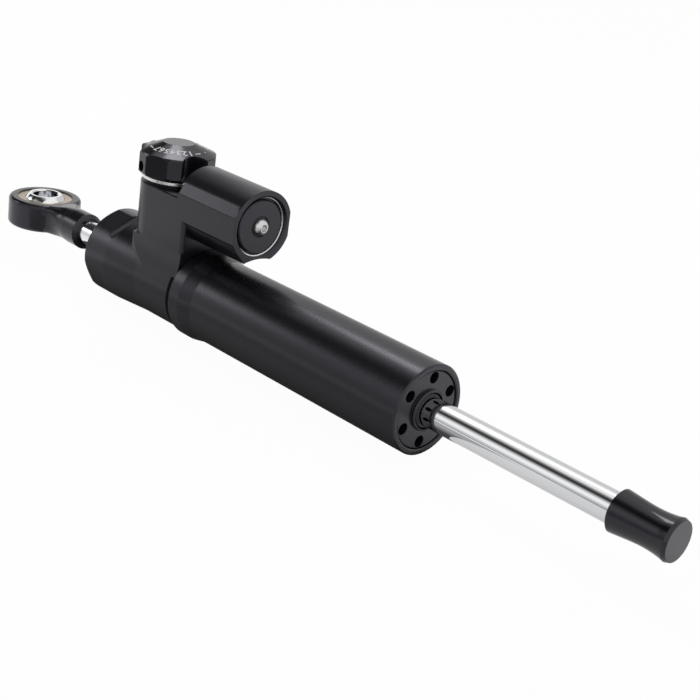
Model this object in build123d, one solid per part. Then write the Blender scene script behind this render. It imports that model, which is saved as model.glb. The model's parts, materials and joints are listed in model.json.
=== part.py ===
from build123d import *
import math
import os

# Steering damper for an electric scooter, millimetres.
# X runs along the rod from the rod end to the end cap, Z points up at the knob.
# The origin is on the rod's axis, half way along the plain part of the tube.

# General clearances
RUNNING_GAP = 0.03        # radial, shaft in a bush or seal
SLIDING_GAP = 0.05        # radial, piston, needle and stem in their bores
SEAT_GAP = 0.05           # radial, piece pushed or screwed into a fixed seat
FACE_GAP = 0.3            # between faces that move past each other
EDGE_BREAK = 0.4          # small chamfer on turned edges

# Rod
ROD_R = 5.0
ROD_STUD_R = 4.0          # threaded ends
ROD_STUD_LENGTH = 14.0
CIRCLIP_GROOVE_DEPTH = 0.4

# Outer tube
TUBE_R = 15.5
TUBE_WALL = 2.1
TUBE_FRONT_X = 51.0
TUBE_FRONT_CHAMFER = 0.5
TUBE_PLAIN_LENGTH = 101.0  # plain outside wall, where a clamp goes
COLLAR_STEP = 1.1         # the collar stands this far above the tube
COLLAR_TAPER_LENGTH = 6.0
COLLAR_LENGTH = 5.5
THREAD_STEP = 0.9         # counterbore for the head's spigot
THREAD_DEPTH = 7.9

# Inner cylinder and chamber
OIL_GAP = 1.7             # oil returns between liner and tube
LINER_WALL = 1.2
CHAMBER_FROM_JOINT = 1.0  # its back wall lies this far inside the tube
LINER_OVER_NOSE = 4.5     # how far the liner covers the gland's nose
PORT_R = 1.25
PORT_COUNT = 6
PORT_FROM_NOSE = 2.0

# Bump stops
BUMP_LENGTH = 2.5
BUMP_BORE_R = 5.7
BUMP_WALL = 2.2

# Piston
PISTON_LENGTH = 12.0
PISTON_SIDE_GAP = 0.25    # the body clears the liner, only the ring touches
PISTON_RING_LENGTH = 3.0
PISTON_RING_DEPTH = 1.2
PISTON_TRAVEL_IN = 5.0    # from the rest pose towards the front gland
CIRCLIP_THICKNESS = 1.0
CIRCLIP_R = 7.0
CIRCLIP_MOUTH_DEG = 50.0
PISTON_EDGE = 0.8

# Front gland
GLAND_LENGTH = 14.9
GLAND_RECESS = 0.6
LIP_R = 7.0
LIP_HEIGHT = 1.2
SPANNER_HOLE_R = 2.0
SPANNER_HOLE_DEPTH = 4.0
SPANNER_HOLE_EDGE = 0.5   # wall between each hole and the gland's rim
SPANNER_HOLE_COUNT = 6
SPANNER_HOLE_START_DEG = 5.5
ROD_CLEARANCE_R = 5.4     # bore of head and gland between the seats

# Bushes, seals and wipers on the rod
BUSH_R = 6.5
BUSH_LENGTH = 11.0
SEAL_R = 7.4
SEAL_LENGTH = 3.6
WIPER_R = 6.3
WIPER_LENGTH = 3.5
WIPER_BACK = 0.25         # the wiper lies this far inside its mouth
SEAT_WALL = 0.7           # land between bush and seal seats
REAR_SEAL_FROM_END = 5.6
REAR_WIPER_R = 8.0

# O-rings
O_RING_WIRE_R = 0.9
O_RING_WIDTH = 2.4        # width of each groove
THIN_O_RING_WIRE_R = 0.5  # for the head's spigot and the adjuster's stem
THIN_O_RING_WIDTH = 1.4
GLAND_O_RING_FROM_FACE = 9.4

# Head
HEAD_LENGTH = 53.0
HEAD_WAIST_STEP = 0.1     # the waist stands this far above the tube
HEAD_WAIST_LENGTH = 22.0
HEAD_TAPER_LENGTH = 18.0
HEAD_END_CHAMFER = 1.0
HEAD_FLAT_COUNT = 4
HEAD_FLAT_START_DEG = 26.0
HEAD_FLAT_DEPTH = 0.75
HEAD_FLAT_LENGTH = 11.3
HEAD_RELIEF_R = 2.7       # round groove that ends the upper flat and the one across from it
HEAD_RELIEF_DEPTH = 1.9

# Knob boss, a round-ended block in plan
BOSS_R = 12.5
BOSS_FROM_JOINT = 22.4
BOSS_ABOVE_BARREL_AXIS = 2.6
BOSS_TOP_CHAMFER = 0.4
BOSS_FOOT_FILLET = 2.2
BOSS_EDGE_FILLET = 1.5
BOSS_FLARE_R = 30.0       # wide blend from the side walls to the round head
BOSS_FLARE_REACH = 2.8
BOSS_FLARE_RUN = 14.0     # the blend grows from nothing to its full width over this length

# Reservoir
BARREL_R = 13.2
BARREL_ABOVE_TUBE = 17.9  # the barrel's axis stands this far above the tube's top
BARREL_OVER_BOSS = 4.8
BARREL_LENGTH = 31.9
BARREL_BORE_R = 10.7
BARREL_END_WALL = 2.0
BARREL_COLLAR = 1.3
PANEL_DEPTH = 0.5         # a shallow flat milled along each upper side
PANEL_TOP_DEG = 51.0
PANEL_BOTTOM_DEG = 71.0
TUBE_TO_BARREL_GAP = 6.5  # hollow milled under the barrel, concentric with the tube
KEEL_POINTS = ((-12.5, -5.0), (-9.4, -9.1), (-6.0, -13.1), (0.0, -13.1), (0.0, 0.0), (-12.5, 0.0))
MOUTH_CHAMFER = 0.7
SNAP_GROOVE_DEPTH = 0.6
SNAP_WIRE_R = 0.6
SNAP_FROM_FRONT = 1.8
SNAP_MOUTH_DEG = 26.0
SNAP_MOUTH_AT_DEG = -50.0
PLATE_GAP = 0.1
PLATE_FLANGE = 4.6
PLATE_FACE_R = 9.65
PLATE_FACE_HEIGHT = 1.5
FILL_BORE_R = 2.0
FILL_HEAD_R = 3.1
FILL_HEAD_HEIGHT = 2.2
FILL_SCREW_LENGTH = 6.0
FILL_SOCKET_R = 1.45
FILL_SOCKET_DEPTH = 1.3
FILL_WASHER_R = 3.5
FILL_WASHER_THICKNESS = 0.6
FILL_SPOT_R = 3.8
FILL_SPOT_DEPTH = 0.8
FLOAT_LENGTH = 9.0
FLOAT_FROM_BACK = 7.8     # oil space behind the floating piston
FLOAT_CUP_R = 7.5
FLOAT_CUP_DEPTH = 4.5

# Adjuster
CARTRIDGE_R = 8.0
CARTRIDGE_DEPTH = 12.0
CARTRIDGE_FLANGE_R = 10.6
CARTRIDGE_FLANGE = 1.0
CARTRIDGE_WEB = 6.0       # upper part of the bore, round the stem
STEM_R = 3.0
STEM_FLANGE_R = 4.3
STEM_FLANGE = 2.0
STEM_TAIL_R = 2.9
STEM_TAIL_LENGTH = 4.0
STEM_INTO_KNOB = 8.0
NEEDLE_R = 1.5
NEEDLE_TIP_R = 0.5
NEEDLE_TIP_LENGTH = 3.5
NEEDLE_TIP_DROP = 1.8     # the tip reaches this far through the valve seat
NEEDLE_INTO_STEM = 0.2    # past the shoulder of the cartridge
NEEDLE_GUIDE_RISE = 6.0   # guide collar above the valve seat
NEEDLE_GUIDE = 2.0
NEEDLE_FLATS = 6.6        # across the two flats of the guide collar
NEEDLE_KEY_WIDTH = 1.6    # lug of the guide collar, in a slot of the valve chamber
NEEDLE_KEY_REACH = 0.9
NEEDLE_PITCH = 0.7        # travel for one turn of the knob
KNOB_TURNS = 1.5
VALVE_CHAMBER_R = 4.4
VALVE_SEAT_DROP = 0.55    # below the return passage's axis
VALVE_SEAT_R = 1.3
VALVE_POCKET_DROP = 1.3   # below the chamber passage's axis
CHAMBER_PASSAGE_DROP = 1.2
CHAMBER_PASSAGE_R = 1.0
RETURN_PASSAGE_R = 0.5
RESERVOIR_PASSAGE_R = 1.0
RESERVOIR_PASSAGE_DROP = 7.0

# Click ring, detent and knob
CLICK_RING_R = 12.4
CLICK_RING_BORE_R = 7.6
CLICK_RING_THICKNESS = 1.8
CLICK_COUNT = 24
CLICK_PITCH_R = 9.6
DETENT_BALL_R = 1.0
DETENT_SPRING_R = 0.9
DETENT_SPRING_WALL = 0.3
DETENT_HOLE_DEPTH = 3.0
DETENT_HOLE_R = 1.05
DETENT_AT_DEG = 215.0
KNOB_R = 14.6
KNOB_SKIRT_HEIGHT = 8.3
KNOB_CONE_HEIGHT = 3.3
KNOB_TOP_R = 5.8
KNOB_RIM_BEVEL = 1.0
KNOB_RIM_BEVEL_WIDTH = 0.6
KNOB_FLAT_DEPTH = 0.74    # the wide flat in the middle of each lobe
KNOB_SIDE_FLAT_DEPTH = 0.35
KNOB_SIDE_FLAT_DEG = 31.0
KNOB_FIRST_SCALLOP_DEG = -10.0
KNOB_SCALLOPS = 3
SCALLOP_R = 7.2
SCALLOP_DEPTH = 3.3
KNOB_EDGE = 1.1
GRUB_R = 1.5
GRUB_LENGTH = 5.0
GRUB_HOLE_R = 1.55
GRUB_MOUTH_R = 1.9
GRUB_RISE = 2.9           # above the knob's underside
GRUB_HEX_R = 0.8
GRUB_HEX_DEPTH = 1.5

# Rod end
EYE_FROM_SHANK = 24.4
EYE_R = 14.6
EYE_THICKNESS = 11.5
EYE_EDGE_FILLET = 1.5
RACE_R = 11.0
RACE_LENGTH = 10.6
BALL_R = 9.525
BALL_WIDTH = 14.0
BALL_BORE_R = 5.0
BALL_BORE_CHAMFER = 0.5
SHANK_R = 7.2
SHANK_FROM_HEAD = 20.6    # bare rod between head and rod end
SHANK_CHAMFER = 1.4
SHANK_LENGTH = 8.0
SHANK_BORE_SPARE = 1.0
NECK_R = 6.9              # half width of the forged neck at its narrowest
NECK_FILLET_R = 7.5       # in plan, between eye and neck
NECK_INTO_EYE = 1.6
NECK_SHOULDER = 0.15      # the neck starts this far under the eye's faces
NECK_SECTIONS = 8
NECK_POINTS = 32          # round each section of the neck
NECK_EYE_SQUARENESS = 7.0  # 2 is an ellipse, more is squarer
NECK_SQUARE_SHARE = 0.7   # of the neck's length, over which it turns oval
NECK_INTO_SHANK = 0.6

# End cap
CAP_FROM_LIP = 72.7       # bare rod between gland and cap
CAP_LENGTH = 20.1
CAP_BACK_R = 6.75
CAP_WAIST_R = 5.95
CAP_RIM_R = 6.8
CAP_FACE_R = 6.35
CAP_WAIST_AT = 12.0
CAP_RIM_AT = 18.9

# Sizes and places that follow from the ones above
TUBE_BORE_R = TUBE_R - TUBE_WALL
THREAD_BORE_R = TUBE_BORE_R + THREAD_STEP
COLLAR_R = TUBE_R + COLLAR_STEP
LINER_R = TUBE_BORE_R - OIL_GAP
LINER_BORE_R = LINER_R - LINER_WALL
BUMP_R = BUMP_BORE_R + BUMP_WALL
SPANNER_HOLE_PITCH_R = TUBE_BORE_R - SPANNER_HOLE_R - SPANNER_HOLE_EDGE
HEAD_END_R = COLLAR_R
HEAD_WAIST_R = TUBE_R + HEAD_WAIST_STEP
PLAIN_FRONT_X = TUBE_FRONT_X - TUBE_FRONT_CHAMFER
PLAIN_BACK_X = PLAIN_FRONT_X - TUBE_PLAIN_LENGTH
COLLAR_FRONT_X = PLAIN_BACK_X - COLLAR_TAPER_LENGTH
JOINT_X = COLLAR_FRONT_X - COLLAR_LENGTH
SPIGOT_END_X = JOINT_X + THREAD_DEPTH
SPIGOT_R = THREAD_BORE_R - SEAT_GAP
HEAD_LEFT_X = JOINT_X - HEAD_LENGTH
BOSS_X = JOINT_X - BOSS_FROM_JOINT
BARREL_AXIS_Z = TUBE_R + BARREL_ABOVE_TUBE
BARREL_LEFT_X = JOINT_X - BARREL_OVER_BOSS
BARREL_FRONT_X = BARREL_LEFT_X + BARREL_LENGTH
BOSS_TOP_Z = BARREL_AXIS_Z + BOSS_ABOVE_BARREL_AXIS
GLAND_FACE_X = TUBE_FRONT_X - GLAND_RECESS
GLAND_R = TUBE_BORE_R - SEAT_GAP
NOSE_SHOULDER_X = GLAND_FACE_X - GLAND_LENGTH
NOSE_END_X = NOSE_SHOULDER_X - LINER_OVER_NOSE
NOSE_R = LINER_BORE_R - SEAT_GAP
CHAMBER_BACK_X = JOINT_X + CHAMBER_FROM_JOINT
CHAMBER_LENGTH = NOSE_END_X - CHAMBER_BACK_X
LINER_SEAT_R = LINER_R + SEAT_GAP
LIP_X = GLAND_FACE_X + LIP_HEIGHT
PISTON_FRONT_X = NOSE_END_X - BUMP_LENGTH - PISTON_TRAVEL_IN - CIRCLIP_THICKNESS
PISTON_BACK_X = PISTON_FRONT_X - PISTON_LENGTH
PISTON_MID_X = (PISTON_FRONT_X + PISTON_BACK_X) / 2
STROKE = CHAMBER_LENGTH - 2 * BUMP_LENGTH - PISTON_LENGTH - 2 * CIRCLIP_THICKNESS
CAP_BACK_X = LIP_X + CAP_FROM_LIP
CAP_FRONT_X = CAP_BACK_X + CAP_LENGTH
SHANK_FRONT_X = HEAD_LEFT_X - SHANK_FROM_HEAD
SHANK_BACK_X = SHANK_FRONT_X - SHANK_LENGTH
EYE_X = SHANK_BACK_X - EYE_FROM_SHANK
BARREL_BORE_BACK_X = BARREL_LEFT_X + BARREL_END_WALL
FLOAT_X = BARREL_BORE_BACK_X + FLOAT_FROM_BACK
HOLLOW_R = TUBE_R + TUBE_TO_BARREL_GAP
SNAP_X = BARREL_FRONT_X - SNAP_FROM_FRONT
PLATE_FLANGE_FRONT_X = SNAP_X - SNAP_WIRE_R
PLATE_FACE_X = PLATE_FLANGE_FRONT_X + PLATE_FACE_HEIGHT
PLATE_BACK_X = PLATE_FLANGE_FRONT_X - PLATE_FLANGE
PLATE_R = BARREL_BORE_R - PLATE_GAP
FILL_SPOT_X = PLATE_FACE_X - FILL_SPOT_DEPTH
FILL_HEAD_X = FILL_SPOT_X + FILL_WASHER_THICKNESS
CARTRIDGE_BOTTOM_Z = BOSS_TOP_Z - CARTRIDGE_DEPTH
CARTRIDGE_TOP_Z = BOSS_TOP_Z + CARTRIDGE_FLANGE
CARTRIDGE_SHOULDER_Z = CARTRIDGE_TOP_Z - CARTRIDGE_WEB
CHAMBER_PASSAGE_Z = LINER_BORE_R - CHAMBER_PASSAGE_DROP
RETURN_PASSAGE_Z = (LINER_R + TUBE_BORE_R) / 2
VALVE_POCKET_Z = CHAMBER_PASSAGE_Z - VALVE_POCKET_DROP
VALVE_SEAT_Z = RETURN_PASSAGE_Z - VALVE_SEAT_DROP
NEEDLE_TIP_Z = VALVE_SEAT_Z - NEEDLE_TIP_DROP
NEEDLE_GUIDE_Z = VALVE_SEAT_Z + NEEDLE_GUIDE_RISE
NEEDLE_TOP_Z = CARTRIDGE_SHOULDER_Z + NEEDLE_INTO_STEM
CLICK_RING_TOP_Z = CARTRIDGE_TOP_Z + CLICK_RING_THICKNESS
KNOB_BOTTOM_Z = CLICK_RING_TOP_Z + FACE_GAP
KNOB_RIM_Z = KNOB_BOTTOM_Z + KNOB_SKIRT_HEIGHT
KNOB_TOP_Z = KNOB_RIM_Z + KNOB_CONE_HEIGHT
GRUB_Z = KNOB_BOTTOM_Z + GRUB_RISE
STEM_TOP_Z = KNOB_BOTTOM_Z + STEM_INTO_KNOB
DETENT_BALL_Z = KNOB_BOTTOM_Z - DETENT_BALL_R - SLIDING_GAP
BARREL_AXIS = (0.0, BARREL_AXIS_Z)
ROD_AXIS = (0.0, 0.0)


def turned(points, axis=ROD_AXIS):
    """Solid of revolution about an axis along X, from (x, radius) points."""
    profile = make_face(Polyline(*points, close=True))
    return Pos(0, axis[0], axis[1]) * revolve(profile, axis=Axis.X)


def sleeve(x0, x1, outer, inner, axis=ROD_AXIS):
    """Plain ring along X."""
    return turned([(x0, inner), (x0, outer), (x1, outer), (x1, inner)], axis)


def bar(x0, x1, r, axis=ROD_AXIS):
    """Plain round bar along X."""
    return sleeve(x0, x1, r, 0.0, axis)


def post(z0, z1, r, x=BOSS_X, y=0.0):
    """Plain round bar along Z."""
    return Pos(x, y, (z0 + z1) / 2) * Cylinder(r, z1 - z0)


def upright(points, x=BOSS_X):
    """Solid of revolution about an upright axis, from (radius, z) points."""
    profile = Plane.XZ * make_face(Polyline(*points, close=True))
    return Pos(x, 0, 0) * revolve(profile, axis=Axis.Z)


def drilled(start, end, r):
    """Straight hole between two points."""
    along = Vector(*end) - Vector(*start)
    plane = Plane(origin=start, z_dir=along.normalized())
    return plane * Cylinder(r, along.length, align=(Align.CENTER, Align.CENTER, Align.MIN))


def o_ring_along(x, seat_r, axis=ROD_AXIS, wire_r=O_RING_WIRE_R):
    """O-ring round an X axis that fills its groove out to the seat radius."""
    section = Pos(x, seat_r - wire_r) * Circle(wire_r - SEAT_GAP / 2)
    return Pos(0, axis[0], axis[1]) * revolve(section, axis=Axis.X)


def o_ring_groove(x, seat_r, axis=ROD_AXIS, wire_r=O_RING_WIRE_R, width=O_RING_WIDTH):
    """Groove for that O-ring, cut into the inner piece."""
    return sleeve(x - width / 2, x + width / 2, seat_r + 1, seat_r - 2 * wire_r, axis)


def slotted(ring, x0, x1, reach, mouth_deg, at_deg, axis=ROD_AXIS):
    """Open a ring along X with a wedge-shaped mouth. The angle is counted from +Z towards +Y."""
    half = math.radians(mouth_deg / 2)
    mid = math.radians(at_deg)
    far = 2 * reach
    corners = [(0.0, 0.0)]
    for angle in (mid - half, mid + half):
        corners.append((far * math.sin(angle), far * math.cos(angle)))
    wedge = Plane.YZ * make_face(Polyline(*corners, close=True))
    wedge = Pos(x0, axis[0], axis[1]) * extrude(wedge, x1 - x0, dir=(1, 0, 0))
    return ring - wedge


def lip_profile(x_seat, x_lip, outer):
    """A wiper or rod seal: a ring whose lip thins towards the rod."""
    inner = ROD_R + RUNNING_GAP
    wall = outer - inner
    step = x_lip - x_seat
    return [
        (x_seat, inner + 0.35 * wall),
        (x_seat, outer),
        (x_seat + 0.75 * step, outer),
        (x_lip, inner + 0.45 * wall),
        (x_lip, inner),
        (x_seat + 0.6 * step, inner),
    ]


def make_outer_tube():
    outline = [
        (JOINT_X, THREAD_BORE_R),
        (JOINT_X, COLLAR_R - EDGE_BREAK),
        (JOINT_X + EDGE_BREAK, COLLAR_R),
        (COLLAR_FRONT_X, COLLAR_R),
        (PLAIN_BACK_X, TUBE_R),
        (PLAIN_FRONT_X, TUBE_R),
        (TUBE_FRONT_X, TUBE_R - TUBE_FRONT_CHAMFER),
        (TUBE_FRONT_X, TUBE_BORE_R + EDGE_BREAK),
        (TUBE_FRONT_X - EDGE_BREAK, TUBE_BORE_R),
        (SPIGOT_END_X, TUBE_BORE_R),
        (SPIGOT_END_X, THREAD_BORE_R),
    ]
    return turned(outline)


def make_inner_cylinder():
    liner = sleeve(CHAMBER_BACK_X, NOSE_SHOULDER_X, LINER_R, LINER_BORE_R)
    port_x = NOSE_END_X - PORT_FROM_NOSE
    for i in range(PORT_COUNT):
        hole = Pos(port_x, 0, (LINER_R + LINER_BORE_R) / 2) * Cylinder(PORT_R, 2 * (LINER_R - LINER_BORE_R))
        liner -= Rot(360.0 * i / PORT_COUNT, 0, 0) * hole
    return liner


def make_front_gland():
    groove_x = GLAND_FACE_X - GLAND_O_RING_FROM_FACE
    seal_back = NOSE_END_X + BUSH_LENGTH + SEAT_WALL
    seal_front = seal_back + SEAL_LENGTH
    wiper_back = LIP_X - WIPER_BACK - WIPER_LENGTH
    outline = [
        (NOSE_END_X, BUSH_R + SEAT_GAP),
        (NOSE_END_X, NOSE_R),
        (NOSE_SHOULDER_X, NOSE_R),
        (NOSE_SHOULDER_X, GLAND_R),
        (GLAND_FACE_X - EDGE_BREAK, GLAND_R),
        (GLAND_FACE_X, GLAND_R - EDGE_BREAK),
        (GLAND_FACE_X, LIP_R),
        (LIP_X - EDGE_BREAK, LIP_R),
        (LIP_X, LIP_R - EDGE_BREAK),
        (LIP_X, WIPER_R + SEAT_GAP),
        (wiper_back, WIPER_R + SEAT_GAP),
        (wiper_back, ROD_CLEARANCE_R),
        (seal_front, ROD_CLEARANCE_R),
        (seal_front, SEAL_R + SEAT_GAP),
        (seal_back, SEAL_R + SEAT_GAP),
        (seal_back, ROD_CLEARANCE_R),
        (NOSE_END_X + BUSH_LENGTH, ROD_CLEARANCE_R),
        (NOSE_END_X + BUSH_LENGTH, BUSH_R + SEAT_GAP),
    ]
    gland = turned(outline) - o_ring_groove(groove_x, TUBE_BORE_R)
    hole = bar(GLAND_FACE_X - SPANNER_HOLE_DEPTH, GLAND_FACE_X + 1, SPANNER_HOLE_R, (0.0, SPANNER_HOLE_PITCH_R))
    for i in range(SPANNER_HOLE_COUNT):
        gland -= Rot(-SPANNER_HOLE_START_DEG - 360.0 * i / SPANNER_HOLE_COUNT, 0, 0) * hole
    return gland


def make_front_bush():
    return sleeve(NOSE_END_X, NOSE_END_X + BUSH_LENGTH, BUSH_R, ROD_R + RUNNING_GAP)


def make_rear_bush():
    return sleeve(CHAMBER_BACK_X - BUSH_LENGTH, CHAMBER_BACK_X, BUSH_R, ROD_R + RUNNING_GAP)


def make_front_rod_seal():
    seal_back = NOSE_END_X + BUSH_LENGTH + SEAT_WALL
    return turned(lip_profile(seal_back + SEAL_LENGTH - SEAT_GAP, seal_back + SEAT_GAP, SEAL_R))


def make_rear_rod_seal():
    seal_left = HEAD_LEFT_X + REAR_SEAL_FROM_END
    return turned(lip_profile(seal_left + SEAT_GAP, seal_left + SEAL_LENGTH - SEAT_GAP, SEAL_R))


def make_front_wiper():
    lip = LIP_X - WIPER_BACK
    return turned(lip_profile(lip - WIPER_LENGTH, lip, WIPER_R))


def make_rear_wiper():
    lip = HEAD_LEFT_X + WIPER_BACK
    return turned(lip_profile(lip + WIPER_LENGTH, lip, REAR_WIPER_R))


def make_front_bump_stop():
    return sleeve(NOSE_END_X - BUMP_LENGTH, NOSE_END_X, BUMP_R, BUMP_BORE_R)


def make_rear_bump_stop():
    return sleeve(CHAMBER_BACK_X, CHAMBER_BACK_X + BUMP_LENGTH, BUMP_R, BUMP_BORE_R)


def make_piston_rod():
    left = SHANK_FRONT_X
    groove_r = ROD_R - CIRCLIP_GROOVE_DEPTH
    outline = [
        (left - ROD_STUD_LENGTH, 0.0),
        (left - ROD_STUD_LENGTH, ROD_STUD_R - EDGE_BREAK),
        (left - ROD_STUD_LENGTH + EDGE_BREAK, ROD_STUD_R),
        (left, ROD_STUD_R),
        (left, ROD_R),
        (PISTON_BACK_X - CIRCLIP_THICKNESS, ROD_R),
        (PISTON_BACK_X - CIRCLIP_THICKNESS, groove_r),
        (PISTON_BACK_X, groove_r),
        (PISTON_BACK_X, ROD_R),
        (PISTON_FRONT_X, ROD_R),
        (PISTON_FRONT_X, groove_r),
        (PISTON_FRONT_X + CIRCLIP_THICKNESS, groove_r),
        (PISTON_FRONT_X + CIRCLIP_THICKNESS, ROD_R),
        (CAP_BACK_X, ROD_R),
        (CAP_BACK_X, ROD_STUD_R),
        (CAP_BACK_X + ROD_STUD_LENGTH - EDGE_BREAK, ROD_STUD_R),
        (CAP_BACK_X + ROD_STUD_LENGTH, ROD_STUD_R - EDGE_BREAK),
        (CAP_BACK_X + ROD_STUD_LENGTH, 0.0),
    ]
    return turned(outline)


def make_piston():
    outer = LINER_BORE_R - PISTON_SIDE_GAP
    floor = LINER_BORE_R - RUNNING_GAP - PISTON_RING_DEPTH - SLIDING_GAP
    half = PISTON_RING_LENGTH / 2 + SLIDING_GAP
    outline = [
        (PISTON_BACK_X, ROD_R + SEAT_GAP),
        (PISTON_BACK_X, outer - PISTON_EDGE),
        (PISTON_BACK_X + PISTON_EDGE, outer),
        (PISTON_MID_X - half, outer),
        (PISTON_MID_X - half, floor),
        (PISTON_MID_X + half, floor),
        (PISTON_MID_X + half, outer),
        (PISTON_FRONT_X - PISTON_EDGE, outer),
        (PISTON_FRONT_X, outer - PISTON_EDGE),
        (PISTON_FRONT_X, ROD_R + SEAT_GAP),
    ]
    return turned(outline)


def make_piston_ring():
    half = PISTON_RING_LENGTH / 2
    outer = LINER_BORE_R - RUNNING_GAP
    return sleeve(PISTON_MID_X - half, PISTON_MID_X + half, outer, outer - PISTON_RING_DEPTH)


def make_piston_circlips():
    clips = []
    for x in (PISTON_BACK_X - CIRCLIP_THICKNESS, PISTON_FRONT_X):
        ring = sleeve(x, x + CIRCLIP_THICKNESS, CIRCLIP_R, ROD_R - CIRCLIP_GROOVE_DEPTH)
        clips.append(slotted(ring, x, x + CIRCLIP_THICKNESS, CIRCLIP_R, CIRCLIP_MOUTH_DEG, 180.0))
    return Compound(children=[clip.solid() for clip in clips])


def head_turning():
    """The round body of the head with its spigot, bores and rod seats."""
    waist_end = JOINT_X - HEAD_WAIST_LENGTH
    taper_end = waist_end - HEAD_TAPER_LENGTH
    outline = [
        (HEAD_LEFT_X, 0.0),
        (HEAD_LEFT_X, HEAD_END_R - HEAD_END_CHAMFER),
        (HEAD_LEFT_X + HEAD_END_CHAMFER, HEAD_END_R),
        (taper_end, HEAD_END_R),
        (waist_end, HEAD_WAIST_R),
        (JOINT_X, HEAD_WAIST_R),
        (JOINT_X, SPIGOT_R),
        (SPIGOT_END_X, SPIGOT_R),
        (SPIGOT_END_X, 0.0),
    ]
    return turned(outline)


def head_rod_bores():
    """Everything that is bored along the rod's axis in the head."""
    seal_left = HEAD_LEFT_X + REAR_SEAL_FROM_END
    wiper_depth = WIPER_BACK + WIPER_LENGTH
    bores = bar(HEAD_LEFT_X - 1, CHAMBER_BACK_X + 1, ROD_CLEARANCE_R)
    bores += bar(CHAMBER_BACK_X, SPIGOT_END_X + 1, LINER_SEAT_R)
    bores += bar(CHAMBER_BACK_X - BUSH_LENGTH, CHAMBER_BACK_X + 1, BUSH_R + SEAT_GAP)
    bores += bar(seal_left, seal_left + SEAL_LENGTH, SEAL_R + SEAT_GAP)
    bores += bar(HEAD_LEFT_X - 1, HEAD_LEFT_X + wiper_depth, REAR_WIPER_R + SEAT_GAP)
    return bores


def head_flats():
    """Wrench flats round the left end of the head."""
    flats = []
    side = 2 * HEAD_END_R
    block = Box(HEAD_FLAT_LENGTH + 1, side, HEAD_END_R, align=(Align.MIN, Align.CENTER, Align.MIN))
    block = Pos(HEAD_LEFT_X - 1, 0, HEAD_END_R - HEAD_FLAT_DEPTH) * block
    for i in range(HEAD_FLAT_COUNT):
        flats.append(Rot(HEAD_FLAT_START_DEG + 360.0 * i / HEAD_FLAT_COUNT, 0, 0) * block)
    return flats


def head_reliefs():
    """Round grooves across the head, where the upper flat and the one across from it end."""
    across = Rot(90, 0, 0) * Cylinder(HEAD_RELIEF_R, 2 * HEAD_END_R)
    x = HEAD_LEFT_X + HEAD_FLAT_LENGTH + HEAD_RELIEF_R / 3
    groove = Pos(x, 0, HEAD_END_R - HEAD_RELIEF_DEPTH + HEAD_RELIEF_R) * across
    return [Rot(HEAD_FLAT_START_DEG + turn, 0, 0) * groove for turn in (0.0, 180.0)]


def boss_flare():
    """Wide blend from the boss's side walls down to the head, which fades out to the left."""
    centre_z = math.sqrt((HEAD_WAIST_R + BOSS_FLARE_R) ** 2 - (BOSS_R + BOSS_FLARE_R) ** 2)
    share = HEAD_WAIST_R / (HEAD_WAIST_R + BOSS_FLARE_R)
    foot = (share * (BOSS_R + BOSS_FLARE_R), share * centre_z)
    half = math.atan2(centre_z, BOSS_R + BOSS_FLARE_R) / 2
    middle = (BOSS_R + BOSS_FLARE_R * (1 - math.cos(half)), centre_z - BOSS_FLARE_R * math.sin(half))
    curve = ThreePointArc((BOSS_R, centre_z), middle, foot)
    sides = Polyline(foot, (0.0, foot[1]), (0.0, centre_z), (BOSS_R, centre_z))
    section = Plane.YZ * make_face(curve + sides)
    length = JOINT_X - BOSS_X + BOSS_R
    blend = Pos(BOSS_X - BOSS_R, 0, 0) * extrude(section, length, dir=(1, 0, 0))
    right = JOINT_X - BOSS_X
    reach = BOSS_R + BOSS_FLARE_REACH
    left = -BOSS_R / 2
    corners = [(left, 0), (right, 0), (right, reach), (left + BOSS_FLARE_RUN, reach), (left, BOSS_R)]
    plan = make_face(Polyline(*corners, close=True))
    blend = blend & (Pos(BOSS_X, 0, 0) * extrude(plan, BOSS_TOP_Z))
    return blend + mirror(blend, about=Plane.XZ)


def boss_block():
    """Boss that stands on the head: round on the left, flush with the joint on the right."""
    right = JOINT_X - BOSS_X
    plan = Circle(BOSS_R) + Pos(right / 2, 0) * Rectangle(right, 2 * BOSS_R)
    return Pos(BOSS_X, 0, 0) * extrude(plan, BOSS_TOP_Z)


def barrel_body():
    """Reservoir barrel with its side panels, end collar and the near-side keel."""
    length = BARREL_FRONT_X - BARREL_LEFT_X
    barrel = bar(BARREL_LEFT_X, BARREL_FRONT_X, BARREL_R, BARREL_AXIS)
    keel = Plane.YZ * make_face(Polyline(*KEEL_POINTS, close=True))
    barrel += Pos(BARREL_LEFT_X, 0, BARREL_AXIS_Z) * extrude(keel, length, dir=(1, 0, 0))
    side = Box(length, BARREL_R, 4 * BARREL_R, align=(Align.MIN, Align.MIN, Align.CENTER))
    for turn in (0.0, 180.0):
        barrel -= Pos(BARREL_LEFT_X, 0, BARREL_AXIS_Z) * Rot(turn, 0, 0) * Pos(0, BOSS_R, 0) * side
    for panel in barrel_panels():
        barrel -= panel
    return barrel - bar(BARREL_LEFT_X - 1, BARREL_FRONT_X + 1, HOLLOW_R)


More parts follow.
